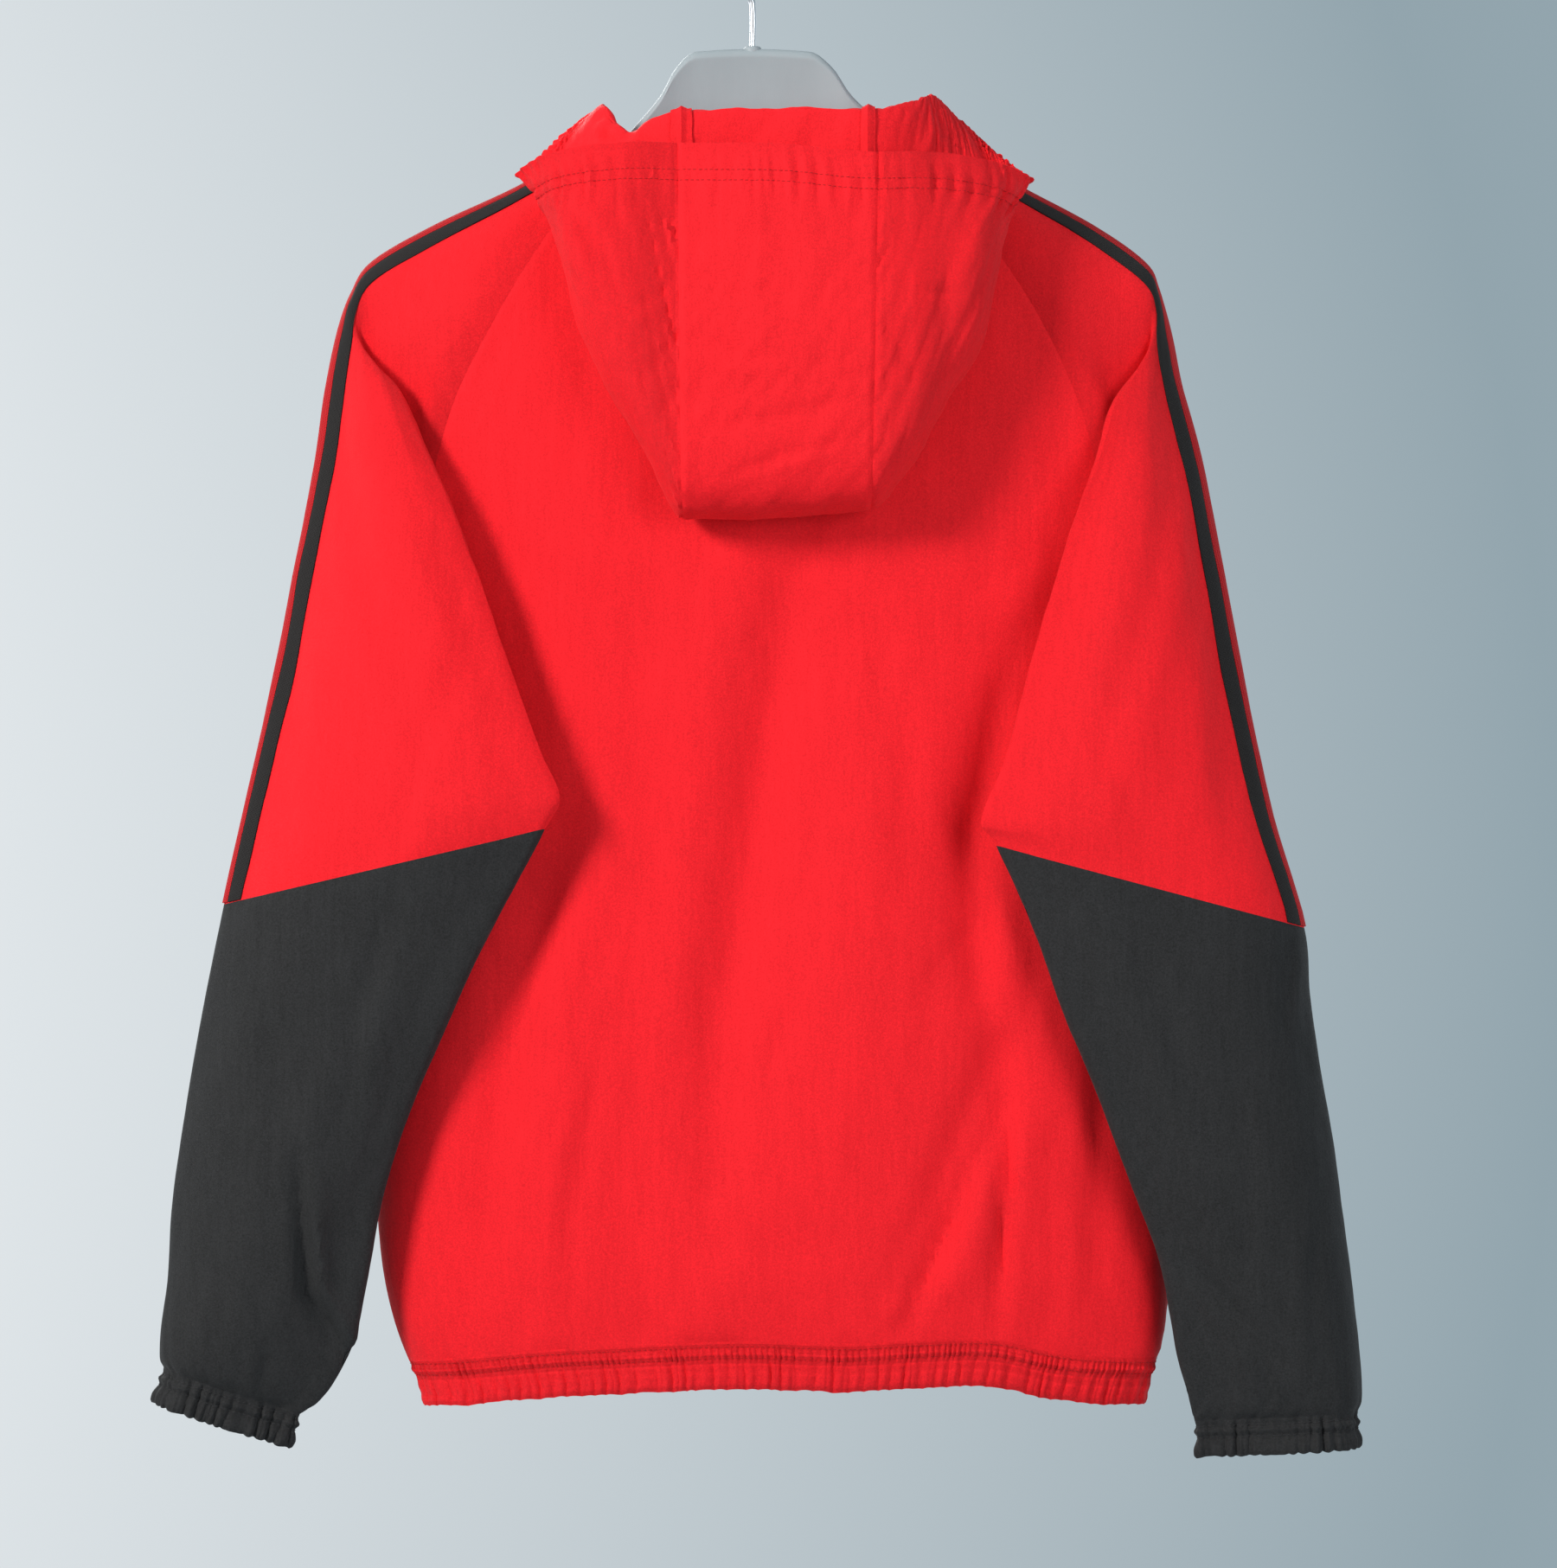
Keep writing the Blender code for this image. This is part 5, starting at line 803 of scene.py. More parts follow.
# the sleeves
sleeves = {
    "fold": (0.21, 0.41, 0.60, 0.77, 0.90, 1.0), "under": (0.13, 0.32, 0.54, 0.77, 1.0),
    "rowSteps": (1, 1, 1, 1, 2, 2, 2, 2, 1, 1, 1),
    "crease": 1.5, "crumple": 0.00095, "fineCrumple": 0.00012, "gatherPitch": 0.0075,
    # outer line x, z; fold edge x, z; underarm x, z; y of the outer line, mid back, fold, underarm, mid front; edge
    "upper": {
        "left": (
            (0.1350, -0.1425, 0.1820, -0.2640, 0.2085, -0.3905, 0.000, 0.0290, 0.0260, -0.0040, -0.0280, 0.020),
            (0.1835, -0.1650, 0.1960, -0.2690, 0.2130, -0.3885, 0.000, 0.0250, 0.0200, -0.0010, -0.0270, 0.020),
            (0.2195, -0.1860, 0.2150, -0.2690, 0.2165, -0.3875, 0.000, 0.0190, 0.0155, 0.0010, -0.0260, 0.020),
            (0.2310, -0.2040, 0.2190, -0.2620, 0.2185, -0.3885, 0.001, 0.0165, 0.0160, 0.0030, -0.0250, 0.018),
            (0.2380, -0.2240, 0.2060, -0.2570, 0.2200, -0.3925, 0.002, 0.0270, 0.0310, 0.0050, -0.0240, 0.024),
            (0.2445, -0.2540, 0.1890, -0.2920, 0.2215, -0.3985, 0.004, 0.0390, 0.0430, 0.0060, -0.0210, 0.024),
            (0.2520, -0.3040, 0.1640, -0.3480, 0.2220, -0.4110, 0.007, 0.0510, 0.0480, 0.0100, -0.0140, 0.026),
            (0.2650, -0.3740, 0.1400, -0.4160, 0.2170, -0.4320, 0.010, 0.0590, 0.0520, 0.0180, -0.0060, 0.028),
            (0.2790, -0.4440, 0.1210, -0.4680, 0.1900, -0.4620, 0.013, 0.0630, 0.0560, 0.0340, 0.0060, 0.030),
            (0.2910, -0.4990, 0.1100, -0.4945, 0.1500, -0.4980, 0.015, 0.0640, 0.0570, 0.0420, 0.0160, 0.030),
            (0.3040, -0.5565, 0.1180, -0.5130, 0.1400, -0.5210, 0.016, 0.0610, 0.0540, 0.0425, 0.0180, 0.030),
        ),
        "right": (
            (-0.1540, -0.1425, -0.1980, -0.2640, -0.2260, -0.3905, 0.000, 0.0290, 0.0260, -0.0040, -0.0280, 0.020),
            (-0.1960, -0.1650, -0.2085, -0.2690, -0.2305, -0.3885, 0.000, 0.0250, 0.0200, -0.0010, -0.0270, 0.020),
            (-0.2260, -0.1860, -0.2205, -0.2690, -0.2340, -0.3875, 0.000, 0.0190, 0.0155, 0.0010, -0.0260, 0.020),
            (-0.2340, -0.2010, -0.2245, -0.2620, -0.2360, -0.3885, 0.001, 0.0165, 0.0160, 0.0030, -0.0250, 0.018),
            (-0.2410, -0.2270, -0.2110, -0.2600, -0.2375, -0.3925, 0.002, 0.0250, 0.0290, 0.0050, -0.0240, 0.022),
            (-0.2470, -0.2580, -0.1985, -0.2980, -0.2390, -0.3985, 0.004, 0.0370, 0.0415, 0.0060, -0.0210, 0.024),
            (-0.2590, -0.3040, -0.1810, -0.3480, -0.2395, -0.4110, 0.007, 0.0500, 0.0470, 0.0100, -0.0140, 0.026),
            (-0.2725, -0.3740, -0.1610, -0.4110, -0.2345, -0.4320, 0.010, 0.0580, 0.0510, 0.0180, -0.0060, 0.028),
            (-0.2855, -0.4440, -0.1440, -0.4740, -0.2080, -0.4640, 0.013, 0.0620, 0.0550, 0.0340, 0.0060, 0.030),
            (-0.2990, -0.5060, -0.1300, -0.5080, -0.1690, -0.5080, 0.015, 0.0630, 0.0560, 0.0430, 0.0160, 0.030),
            (-0.3175, -0.5700, -0.1390, -0.5225, -0.1600, -0.5300, 0.016, 0.0600, 0.0530, 0.0435, 0.0190, 0.030),
        ),
    },
    "lower": {
        "left": (
            (0.3150, -0.6090, 0.1525, -0.5765, 0.1640, -0.5800, 0.014, 0.0560, 0.0480, 0.0390, 0.0150, 0.030),
            (0.3225, -0.6490, 0.1750, -0.6265, 0.1780, -0.6280, 0.012, 0.0530, 0.0440, 0.0340, 0.0080, 0.030),
            (0.3295, -0.6940, 0.1950, -0.6740, 0.1980, -0.6750, 0.011, 0.0500, 0.0390, 0.0290, 0.0020, 0.030),
            (0.3350, -0.7340, 0.2120, -0.7265, 0.2150, -0.7270, 0.010, 0.0470, 0.0340, 0.0230, -0.0040, 0.030),
            (0.3375, -0.7740, 0.2215, -0.7740, 0.2245, -0.7740, 0.009, 0.0430, 0.0280, 0.0160, -0.0090, 0.030),
            (0.3410, -0.8000, 0.2290, -0.8090, 0.2310, -0.8085, 0.009, 0.0380, 0.0230, 0.0120, -0.0080, 0.028),
            (0.3415, -0.8165, 0.2450, -0.8390, 0.2470, -0.8385, 0.010, 0.0310, 0.0180, 0.0100, -0.0040, 0.022),
            (0.3395, -0.8235, 0.2605, -0.8500, 0.2620, -0.8495, 0.011, 0.0250, 0.0150, 0.0090, -0.0010, 0.014),
        ),
        "right": (
            (-0.3210, -0.6090, -0.1600, -0.5715, -0.1720, -0.5750, 0.014, 0.0570, 0.0500, 0.0410, 0.0190, 0.030),
            (-0.3270, -0.6490, -0.1775, -0.6190, -0.1810, -0.6205, 0.012, 0.0550, 0.0480, 0.0390, 0.0150, 0.030),
            (-0.3350, -0.6940, -0.1975, -0.6650, -0.2010, -0.6660, 0.011, 0.0520, 0.0440, 0.0350, 0.0090, 0.030),
            (-0.3400, -0.7340, -0.2175, -0.7190, -0.2210, -0.7195, 0.010, 0.0490, 0.0390, 0.0290, 0.0020, 0.030),
            (-0.3455, -0.7740, -0.2340, -0.7665, -0.2370, -0.7665, 0.009, 0.0430, 0.0310, 0.0200, -0.0080, 0.030),
            (-0.3505, -0.8140, -0.2430, -0.8140, -0.2455, -0.8140, 0.009, 0.0380, 0.0240, 0.0130, -0.0080, 0.028),
            (-0.3520, -0.8390, -0.2510, -0.8440, -0.2530, -0.8440, 0.010, 0.0310, 0.0190, 0.0110, -0.0050, 0.022),
            (-0.3495, -0.8485, -0.2545, -0.8540, -0.2560, -0.8540, 0.011, 0.0260, 0.0160, 0.0090, -0.0020, 0.016),
        ),
    },
    "creases": {
        ("upper", "back"): (
            (((452, 430), (520, 640), (590, 850)), 12, 1.4, 0.5),
            (((395, 520), (430, 700), (500, 900)), 10, 1.3, -0.5),
            (((340, 700), (350, 850), (330, 1010)), 9, 1.2, 0.5),
            (((560, 760), (500, 860), (470, 980)), 6, 1.0, 0.6),
            (((1290, 450), (1240, 660), (1170, 860)), 12, 1.4, -0.5),
            (((1350, 520), (1330, 700), (1262, 900)), 10, 1.3, 0.5),
            (((1408, 720), (1400, 860), (1420, 1010)), 9, 1.1, -0.5),
            (((1220, 790), (1290, 900), (1310, 1000)), 6, 1.0, -0.6),
        ),
        ("upper", "front"): (
            (((470, 470), (440, 660), (400, 860)), 11, 1.5, 0.5),
            (((390, 560), (360, 760), (340, 980)), 8, 1.1, -0.5),
            (((1300, 470), (1330, 680), (1360, 880)), 11, 1.5, -0.5),
            (((1360, 600), (1400, 800), (1420, 1000)), 8, 1.1, 0.5),
        ),
        ("lower", "back"): (
            (((352, 1330), (362, 1490), (408, 1570)), 5, 4.2, 0.9),
            (((300, 1120), (330, 1260), (320, 1400)), 9, 1.3, -0.5),
            (((470, 1020), (420, 1180), (400, 1330)), 9, 1.4, 0.6),
            (((250, 1380), (262, 1500), (250, 1590)), 6, 1.1, 0.6),
            (((300, 1480), (312, 1560), (300, 1625)), 4, 0.9, -0.6),
            (((1484, 1060), (1484, 1130), (1478, 1210)), 4, 1.4, 0.6),
            (((1376, 1462), (1425, 1515), (1474, 1574)), 5.5, 2.8, -0.7),
            (((1300, 1060), (1350, 1200), (1400, 1330)), 9, 1.4, -0.6),
            (((1420, 1220), (1440, 1360), (1430, 1480)), 8, 1.2, 0.5),
            (((1520, 1380), (1510, 1500), (1530, 1600)), 6, 1.1, -0.6),
            (((1450, 1560), (1462, 1610), (1455, 1655)), 4, 0.9, 0.6),
        ),
        ("lower", "front"): (
            (((300, 1120), (360, 1280), (380, 1420)), 8, 1.4, 0.6),
            (((270, 1350), (300, 1480), (290, 1590)), 6, 1.2, -0.6),
            (((1460, 1120), (1410, 1280), (1400, 1420)), 8, 1.4, -0.6),
            (((1500, 1350), (1480, 1480), (1490, 1590)), 6, 1.2, 0.6),
        ),
    },
}


def finerShares(stops):
    return np.interp(np.arange((len(stops) - 1) * finer + 1) / finer, np.arange(len(stops)), stops)


def sleeveRing(row):
    outX, outZ, foldX, foldZ, armX, armZ, outY, backY, foldY, armY, frontY, edge = row
    outer, fold, arm = np.array([outX, outZ]), np.array([foldX, foldZ]), np.array([armX, armZ])
    toFold = (fold - outer) / np.linalg.norm(fold - outer)
    toArm = (arm - outer) / np.linalg.norm(arm - outer)
    free = float(np.clip((foldY - 0.022) / 0.014, 0, 1))
    sunk = 0.25 + 0.35 * max(free, float(np.clip((-0.39 - armZ) / 0.03, 0, 1)))
    controls = [(flat[0], y, flat[1]) for flat, y in (
        (outer, outY),
        (outer + toFold * edge * 0.55, outY + edge * 0.75),
        (outer * 0.5 + fold * 0.5, backY),
        (outer * 0.15 + fold * 0.85, backY * 0.3 + foldY * 0.7 + 0.004 * free),
        (fold, foldY),
        (fold * 0.45 + arm * 0.55, foldY + (armY - foldY) * sunk - 0.001),
        (arm, armY),
        (outer * 0.45 + arm * 0.55, frontY),
        (outer + toArm * edge * 0.55, outY - edge * 0.75),
    )]
    loop = closedCurve(controls)
    lengths = lengthsAlong(loop)
    folded, under = (lengths[np.argmin(np.linalg.norm(loop - np.array(controls[k]), axis=1))] for k in (4, 6))
    fixed = list(body["ribEdges"]) + list(body["stripeEdges"][1:])
    stops = fixed + list(fixed[-1] + (folded - fixed[-1]) * np.array(sleeves["fold"]))
    stops += list(folded + (under - folded) * np.array(sleeves["under"]))
    stops += list(np.linspace(under, lengths[-1] + fixed[0], 9)[1:])
    return pointsAt(loop, finerShares(stops)[:-1] % lengths[-1])


def armholeRing(side):
    crest = finerShares(list(body["ribEdges"]) + list(body["stripeEdges"][1:]))
    necks = {face: neckCurve(side, face) for face in ("front", "back")}
    points = [pointsAt(necks["front" if d < 0 else "back"], [abs(d)])[0] for d in crest]
    points[0] = raglanCurve(side, "front")[0]
    return np.concatenate([points, raglanCurve(side, "back")[1:], raglanCurve(side, "front")[::-1][1:-1]])


def sleeveGrids(side):
    upper, lower = sleeves["upper"][side], sleeves["lower"][side]
    rings = np.array([armholeRing(side)] + [sleeveRing(row) for row in upper + lower])
    steps = [count * 6 for count in sleeves["rowSteps"]] + [9] * len(lower)
    at = np.concatenate([[0.0]] + [i + np.linspace(0, 1, count + 1)[1:] for i, count in enumerate(steps)])
    rows = cubic(np.arange(len(rings)), rings.reshape(len(rings), -1), at).reshape(len(at), -1, 3)
    seam = sum(steps[: len(upper)])
    return rows[: seam + 1], rows[seam:]


def sleeveRelief(grid, facing, part, seed):
    down, over = distances(grid, True)
    around = over[:, :-1]
    under = down[-1] - down
    normals = gridNormals(grid, True) * facing
    behind = smooth(-0.05, 0.35, normals[..., 1])
    before = smooth(-0.05, 0.35, -normals[..., 1])
    x, z = grid[..., 0], grid[..., 2]
    crease = creaseDepth(x, z, sleeves["creases"][(part, "back")]) * behind
    crease += creaseDepth(x, z, sleeves["creases"][(part, "front")]) * before
    calm = smooth(0, 0.014, down) * smooth(0, 0.008, under)
    turn = np.clip(around / over[:, -1:], 0, 1) * 2 * math.pi
    ripple = waves(turn * 0.040, down, seed, 22, 0.018, 0.12, 0.5)
    closing = smooth(0, 0.5, turn) * smooth(0, 0.5, 2 * math.pi - turn)
    height = (crease * sleeves["crease"] + ripple * sleeves["crumple"] * closing) * calm
    height += waves(around, down, seed + 1, 16, 0.007, 0.020, 0.6) * sleeves["fineCrumple"] * calm * closing
    height += (seamRelief(down, around, seed + 2, 0.0003) * closing
               + seamRelief(under, around, seed + 3, 0.0003) * closing)
    if part == "lower":
        span = float(over[-1, -1])
        height += risers(around, under, seed + 4, int(span / sleeves["gatherPitch"]), span, 0.012, 0.040, 0.0009)
    return grid + normals * height[..., None]


cuff = {
    "height": 0.0210, "waves": 26, "columns": 26 * 12, "rows": 18,
    "profile": ((0.00, 0.0000, 0.0000), (0.07, -0.0003, 0.0005), (0.15, -0.0008, 0.0010), (0.30, 0.0009, 0.0014),
                (0.46, -0.0008, 0.0012), (0.58, 0.0002, 0.0016), (0.78, 0.0014, 0.0019), (0.93, 0.0012, 0.0016),
                (1.00, 0.0000, 0.0012)),
    "stitches": (0.15, 0.47),
}


def cuffGrid(side, end, seed):
    columns = cuff["columns"]
    last = sleeves["lower"][side][-1]
    loop = np.concatenate([end, end[:1]])
    base = pointsAt(loop, np.linspace(0, lengthsAlong(loop)[-1], columns + 1))[:-1]
    run = np.array([last[2] - last[0], 0, last[3] - last[1]])
    run /= np.linalg.norm(run)
    down = np.array([run[2], 0, -run[0]])
    down *= -np.sign(down[2])
    soft = base + 0
    for _ in range(14):
        soft = (np.roll(soft, 1, axis=0) + soft * 2 + np.roll(soft, -1, axis=0)) / 4
    outward = np.cross(np.roll(soft, -1, axis=0) - np.roll(soft, 1, axis=0), down)
    outward /= np.linalg.norm(outward, axis=1)[:, None]
    if np.sum((base - base.mean(axis=0)) * outward) < 0:
        outward = -outward
    share = np.arange(columns) / columns
    turn = share * 2 * math.pi
    phase = turn * cuff["waves"] + 0.9 * np.sin(turn * 3 + seed) + 0.7 * np.sin(turn * 5 + 2 * seed)
    uneven = 1 + 0.30 * np.sin(turn * 4 + seed) + 0.30 * np.sin(turn * 9 + seed)
    slant = 1.6 * np.sin(turn * 6 + seed) + 1.1 * np.sin(turn * 11 + 2 * seed)
    steps = np.linspace(0, 1, cuff["rows"] + 1)
    table = np.array(cuff["profile"])
    swell, size = cubic(table[:, 0], table[:, 1:], steps, level=True).T
    rows = []
    for step, out, high in zip(steps, swell, size):
        ruffle = gathered(phase + slant * (step - 0.3)) * uneven
        ruffle = ruffle + gathered(2 * phase + 1.0 - slant * step) * (0.30 + 0.25 * np.sin(turn * 7 + seed))
        row = base + down * cuff["height"] * step * (1 + 0.045 * gathered(phase + slant)[:, None] * step)
        rows.append(row + outward * (out + high * ruffle * uneven)[:, None])
    return np.array(rows)


upperCloth, lowerCloth, cuffCloth = {}, {}, {}
for side, facing, seed in (("left", -1, 71), ("right", 1, 91)):
    upperRaw, lowerRaw = sleeveGrids(side)
    upperCloth[side] = sleeveRelief(upperRaw, facing, "upper", seed)
    lowerCloth[side] = sleeveRelief(lowerRaw, facing, "lower", seed + 7)
    cuffCloth[side] = cuffGrid(side, lowerCloth[side][-1], seed)
    addShell("upperSleeve" + side.title(), upperCloth[side], facing, "redShell", "sleeve_upper_" + side, closed=True)
    addShell("lowerSleeve" + side.title(), lowerCloth[side], facing, "blackShell", "sleeve_lower_" + side, closed=True)
    addShell("cuff" + side.title(), cuffCloth[side], facing, "blackCasing", "cuff_" + side, closed=True, wall=0.0014)
print("sleeves and cuffs made")


# the tapes over the sleeve's crest
tapes = {"lift": 0.0012, "wall": 0.0010, "rib": (0, 3), "stripe": (3, 5), "narrow": 0.0003}


def tapeGrid(cloth, facing, span):
    first, last = (column * finer for column in span)
    normals = gridNormals(cloth, True) * facing
    part, around = cloth[:, first: last + 1].copy(), normals[:, first: last + 1]
    part[0] += (part[1] - part[0]) * 0.4
    part[-1] += (part[-2] - part[-1]) * 0.06
    part = part + around * tapes["lift"]
    way = np.gradient(part, axis=1)
    way /= np.linalg.norm(way, axis=2)[..., None]
    share = np.linspace(1, -1, part.shape[1])[None, :, None]
    crown = np.sin(np.linspace(0, math.pi, part.shape[1])) ** 0.5
    return part + way * share * tapes["narrow"] + around * (crown[None, :, None] - 1) * 0.0004


for side, facing in (("left", -1), ("right", 1)):
    for kind, finish in (("rib", "ribKnit"), ("stripe", "blackTape")):
        grid = tapeGrid(upperCloth[side], facing, tapes[kind])
        addShell(kind + "Tape" + side.title(), grid, facing, finish, kind + "_tape_" + side, wall=tapes["wall"])
print("tapes made")


# the hood
hood = {
    "finer": 10, "centreColumns": 80, "sideSteps": (1, 1, 1, 1, 2, 2, 2, 2, 2, 2), "rows": 150,
    # share of the half neck seam; fold over the neck x, y, z; bottom of the bag x, y, z; face edge x, y, z
    "left": (
        (0.000, -0.0085, 0.0480, -0.1065, -0.0085, 0.0560, -0.3360, -0.0085, 0.0860, -0.1260),
        (0.180, 0.0400, 0.0480, -0.1075, 0.0400, 0.0550, -0.3365, 0.0420, 0.0830, -0.1255),
        (0.240, 0.0590, 0.0450, -0.1120, 0.0640, 0.0530, -0.2930, 0.0660, 0.0800, -0.1245),
        (0.290, 0.0690, 0.0420, -0.1160, 0.0840, 0.0500, -0.2600, 0.0880, 0.0740, -0.1255),
        (0.330, 0.0770, 0.0380, -0.1090, 0.1010, 0.0460, -0.2215, 0.1090, 0.0650, -0.1280),
        (0.365, 0.0830, 0.0320, -0.1010, 0.1110, 0.0420, -0.1840, 0.1250, 0.0540, -0.1320),
        (0.395, 0.0850, 0.0240, -0.0975, 0.1220, 0.0350, -0.1500, 0.1370, 0.0380, -0.1405),
        (0.440, 0.0860, 0.0120, -0.0965, 0.1070, 0.0160, -0.1130, 0.1180, 0.0190, -0.1220),
        (0.480, 0.0880, 0.0010, -0.0990, 0.0960, 0.0010, -0.1030, 0.1030, 0.0010, -0.1080),
        (0.550, 0.0860, -0.0140, -0.1050, 0.0880, -0.0170, -0.1030, 0.0890, -0.0190, -0.1010),
        (0.720, 0.0560, -0.0360, -0.1560, 0.0555, -0.0375, -0.1460, 0.0545, -0.0390, -0.1370),
        (1.000, -0.0040, -0.0390, -0.1950, -0.0040, -0.0410, -0.1830, -0.0040, -0.0430, -0.1710),
    ),
    "right": (
        (0.000, -0.0085, 0.0480, -0.1065, -0.0085, 0.0560, -0.3360, -0.0085, 0.0860, -0.1260),
        (0.230, -0.0670, 0.0480, -0.1060, -0.0680, 0.0550, -0.3310, -0.0715, 0.0830, -0.1305),
        (0.275, -0.0770, 0.0460, -0.1040, -0.0900, 0.0530, -0.3080, -0.0900, 0.0800, -0.1300),
        (0.315, -0.0860, 0.0420, -0.1010, -0.1110, 0.0500, -0.2700, -0.1060, 0.0740, -0.1300),
        (0.350, -0.0940, 0.0370, -0.0970, -0.1330, 0.0460, -0.2340, -0.1270, 0.0650, -0.1320),
        (0.380, -0.1000, 0.0300, -0.0935, -0.1410, 0.0420, -0.1960, -0.1450, 0.0540, -0.1350),
        (0.405, -0.1030, 0.0220, -0.0925, -0.1490, 0.0350, -0.1550, -0.1635, 0.0380, -0.1430),
        (0.445, -0.1060, 0.0110, -0.0950, -0.1280, 0.0150, -0.1140, -0.1400, 0.0180, -0.1250),
        (0.485, -0.1070, 0.0010, -0.0990, -0.1160, 0.0010, -0.1050, -0.1230, 0.0010, -0.1110),
        (0.550, -0.1040, -0.0140, -0.1050, -0.1050, -0.0170, -0.1030, -0.1060, -0.0190, -0.1010),
        (0.720, -0.0730, -0.0360, -0.1560, -0.0725, -0.0375, -0.1460, -0.0715, -0.0390, -0.1370),
        (1.000, -0.0130, -0.0390, -0.1950, -0.0130, -0.0410, -0.1830, -0.0130, -0.0430, -0.1710),
    ),
    "creases": (
        (((975, 520), (905, 538), (838, 562)), 3.0, 1.1, 0.6),
        (((980, 470), (900, 492), (830, 500)), 5.0, 0.8, -0.5),
        (((1005, 420), (930, 440)), 3.0, 0.6, 0.5),
        (((800, 330), (850, 352), (900, 350)), 3.5, 0.7, 0.5),
        (((800, 400), (862, 430), (920, 424)), 4.0, 0.8, -0.5),
        (((1015, 300), (1060, 350), (1110, 352)), 4.0, 0.9, 0.6),
        (((1015, 380), (1052, 440), (1092, 450)), 4.5, 1.0, -0.6),
        (((1015, 480), (1042, 520), (1062, 520)), 3.0, 0.8, 0.6),
        (((785, 340), (740, 372), (700, 360)), 3.2, 1.0, 0.6),
        (((787, 400), (752, 440), (722, 440)), 3.0, 0.9, -0.6),
        (((790, 460), (762, 500), (748, 500)), 3.0, 0.9, 0.6),
        (((660, 250), (700, 300), (720, 370)), 6.0, 1.2, 0.6),
        (((900, 230), (912, 300), (902, 400)), 9.0, 0.9, 0.4),
        (((1120, 240), (1090, 320), (1084, 400)), 6.0, 1.1, -0.6),
    ),
    "hem": (0.0150, 0.0210), "crease": 1.5, "crumple": 0.00060, "fineCrumple": 0.00022,
    "groove": 0.0013, "grooveWidth": 0.0013, "puckers": (0.0026, 0.0018), "pleats": 0.0012,
    "hemGroove": 0.0009, "hemRipple": 0.0009, "edgeRoll": 0.0008,
    "peak": {"left": 0.0026, "lessOnRight": 0.0018, "puff": 0.0012},
}


def neckHalf(side):
    back = backCloth[0] if side == "left" else backCloth[0][::-1]
    crest = upperCloth[side][0][: 5 * finer + 1]
    half = body["backColumns"] // 2
    return np.concatenate([back[: half + 1][::-1], crest[::-1][1:], frontCloth[side][0][1:]])


def hoodPath(station, neckPoint):
    top, low, face = (np.array(station[k: k + 3]) for k in (1, 4, 7))
    bag = float(np.clip((face[2] - low[2]) / 0.10, 0, 1))
    rise = neckPoint * 0.5 + top * 0.5 + np.array([0, -0.002 * bag, 0])
    inner = top * 0.5 + low * 0.5 + np.array([0, 0.003 * bag, 0])
    turn = low + np.array([0, 0.013, 0.004]) * bag + (face - low) * 0.12 * (1 - bag)
    outer = low * 0.62 + face * 0.38 + np.array([0, 0.022, 0]) * bag
    high = low * 0.25 + face * 0.75 + np.array([0, 0.010, 0]) * bag
    return np.array([neckPoint, rise, top, inner, low, turn, outer, high, face])


def hoodGrid():
    shares, paths, at, necks = [], [], [], []
    for sign, side in ((-1, "left"), (1, "right")):
        table = hood[side][::sign]
        seam = neckHalf(side)
        whole = lengthsAlong(seam)[-1]
        stops = [sign * row[0] for row in table]
        steps = (hood["centreColumns"] // 2,) + tuple(count * hood["finer"] for count in hood["sideSteps"])
        places = [stops[0]]
        for start, end, count in zip(stops, stops[1:], steps[::sign]):
            places += list(np.linspace(start, end, count + 1)[1:])
        skip = 0 if side == "left" else 1
        shares += stops[skip:]
        paths += [hoodPath(row, pointsAt(seam, [row[0] * whole])[0]) for row in table][skip:]
        at += places[skip:]
        necks += list(pointsAt(seam, np.abs(places[skip:]) * whole))
    flat = np.array(paths).reshape(len(paths), -1)
    controls = cubic(shares, flat, np.array(at), level=True).reshape(len(at), -1, 3)
    columns = []
    for control, neckPoint in zip(controls, necks):
        control[0] = neckPoint
        columns.append(openCurve(control, hood["rows"] + 1))
    return np.array(columns).transpose(1, 0, 2), np.array(at)


def easedCorners(grid, shares):
    # the face edge turns each corner in a soft curve
    soft = grid.copy()
    for _ in range(60):
        soft[:, 1:-1] = (soft[:, :-2] + soft[:, 2:] + soft[:, 1:-1] * 2) / 4
    reach, level = np.abs(shares)[None, :], np.linspace(0, 1, len(grid))[:, None]
    weight = smooth(0.31, 0.37, reach) * (1 - smooth(0.46, 0.52, reach)) * smooth(0.50, 0.80, level)
    return grid + (soft - grid) * weight[..., None]


hoodRaw, hoodShares = hoodGrid()
hoodRaw = easedCorners(hoodRaw, hoodShares)
hoodFirst = sum(hood["sideSteps"]) * hood["finer"]
hoodLast = hoodFirst + hood["centreColumns"]


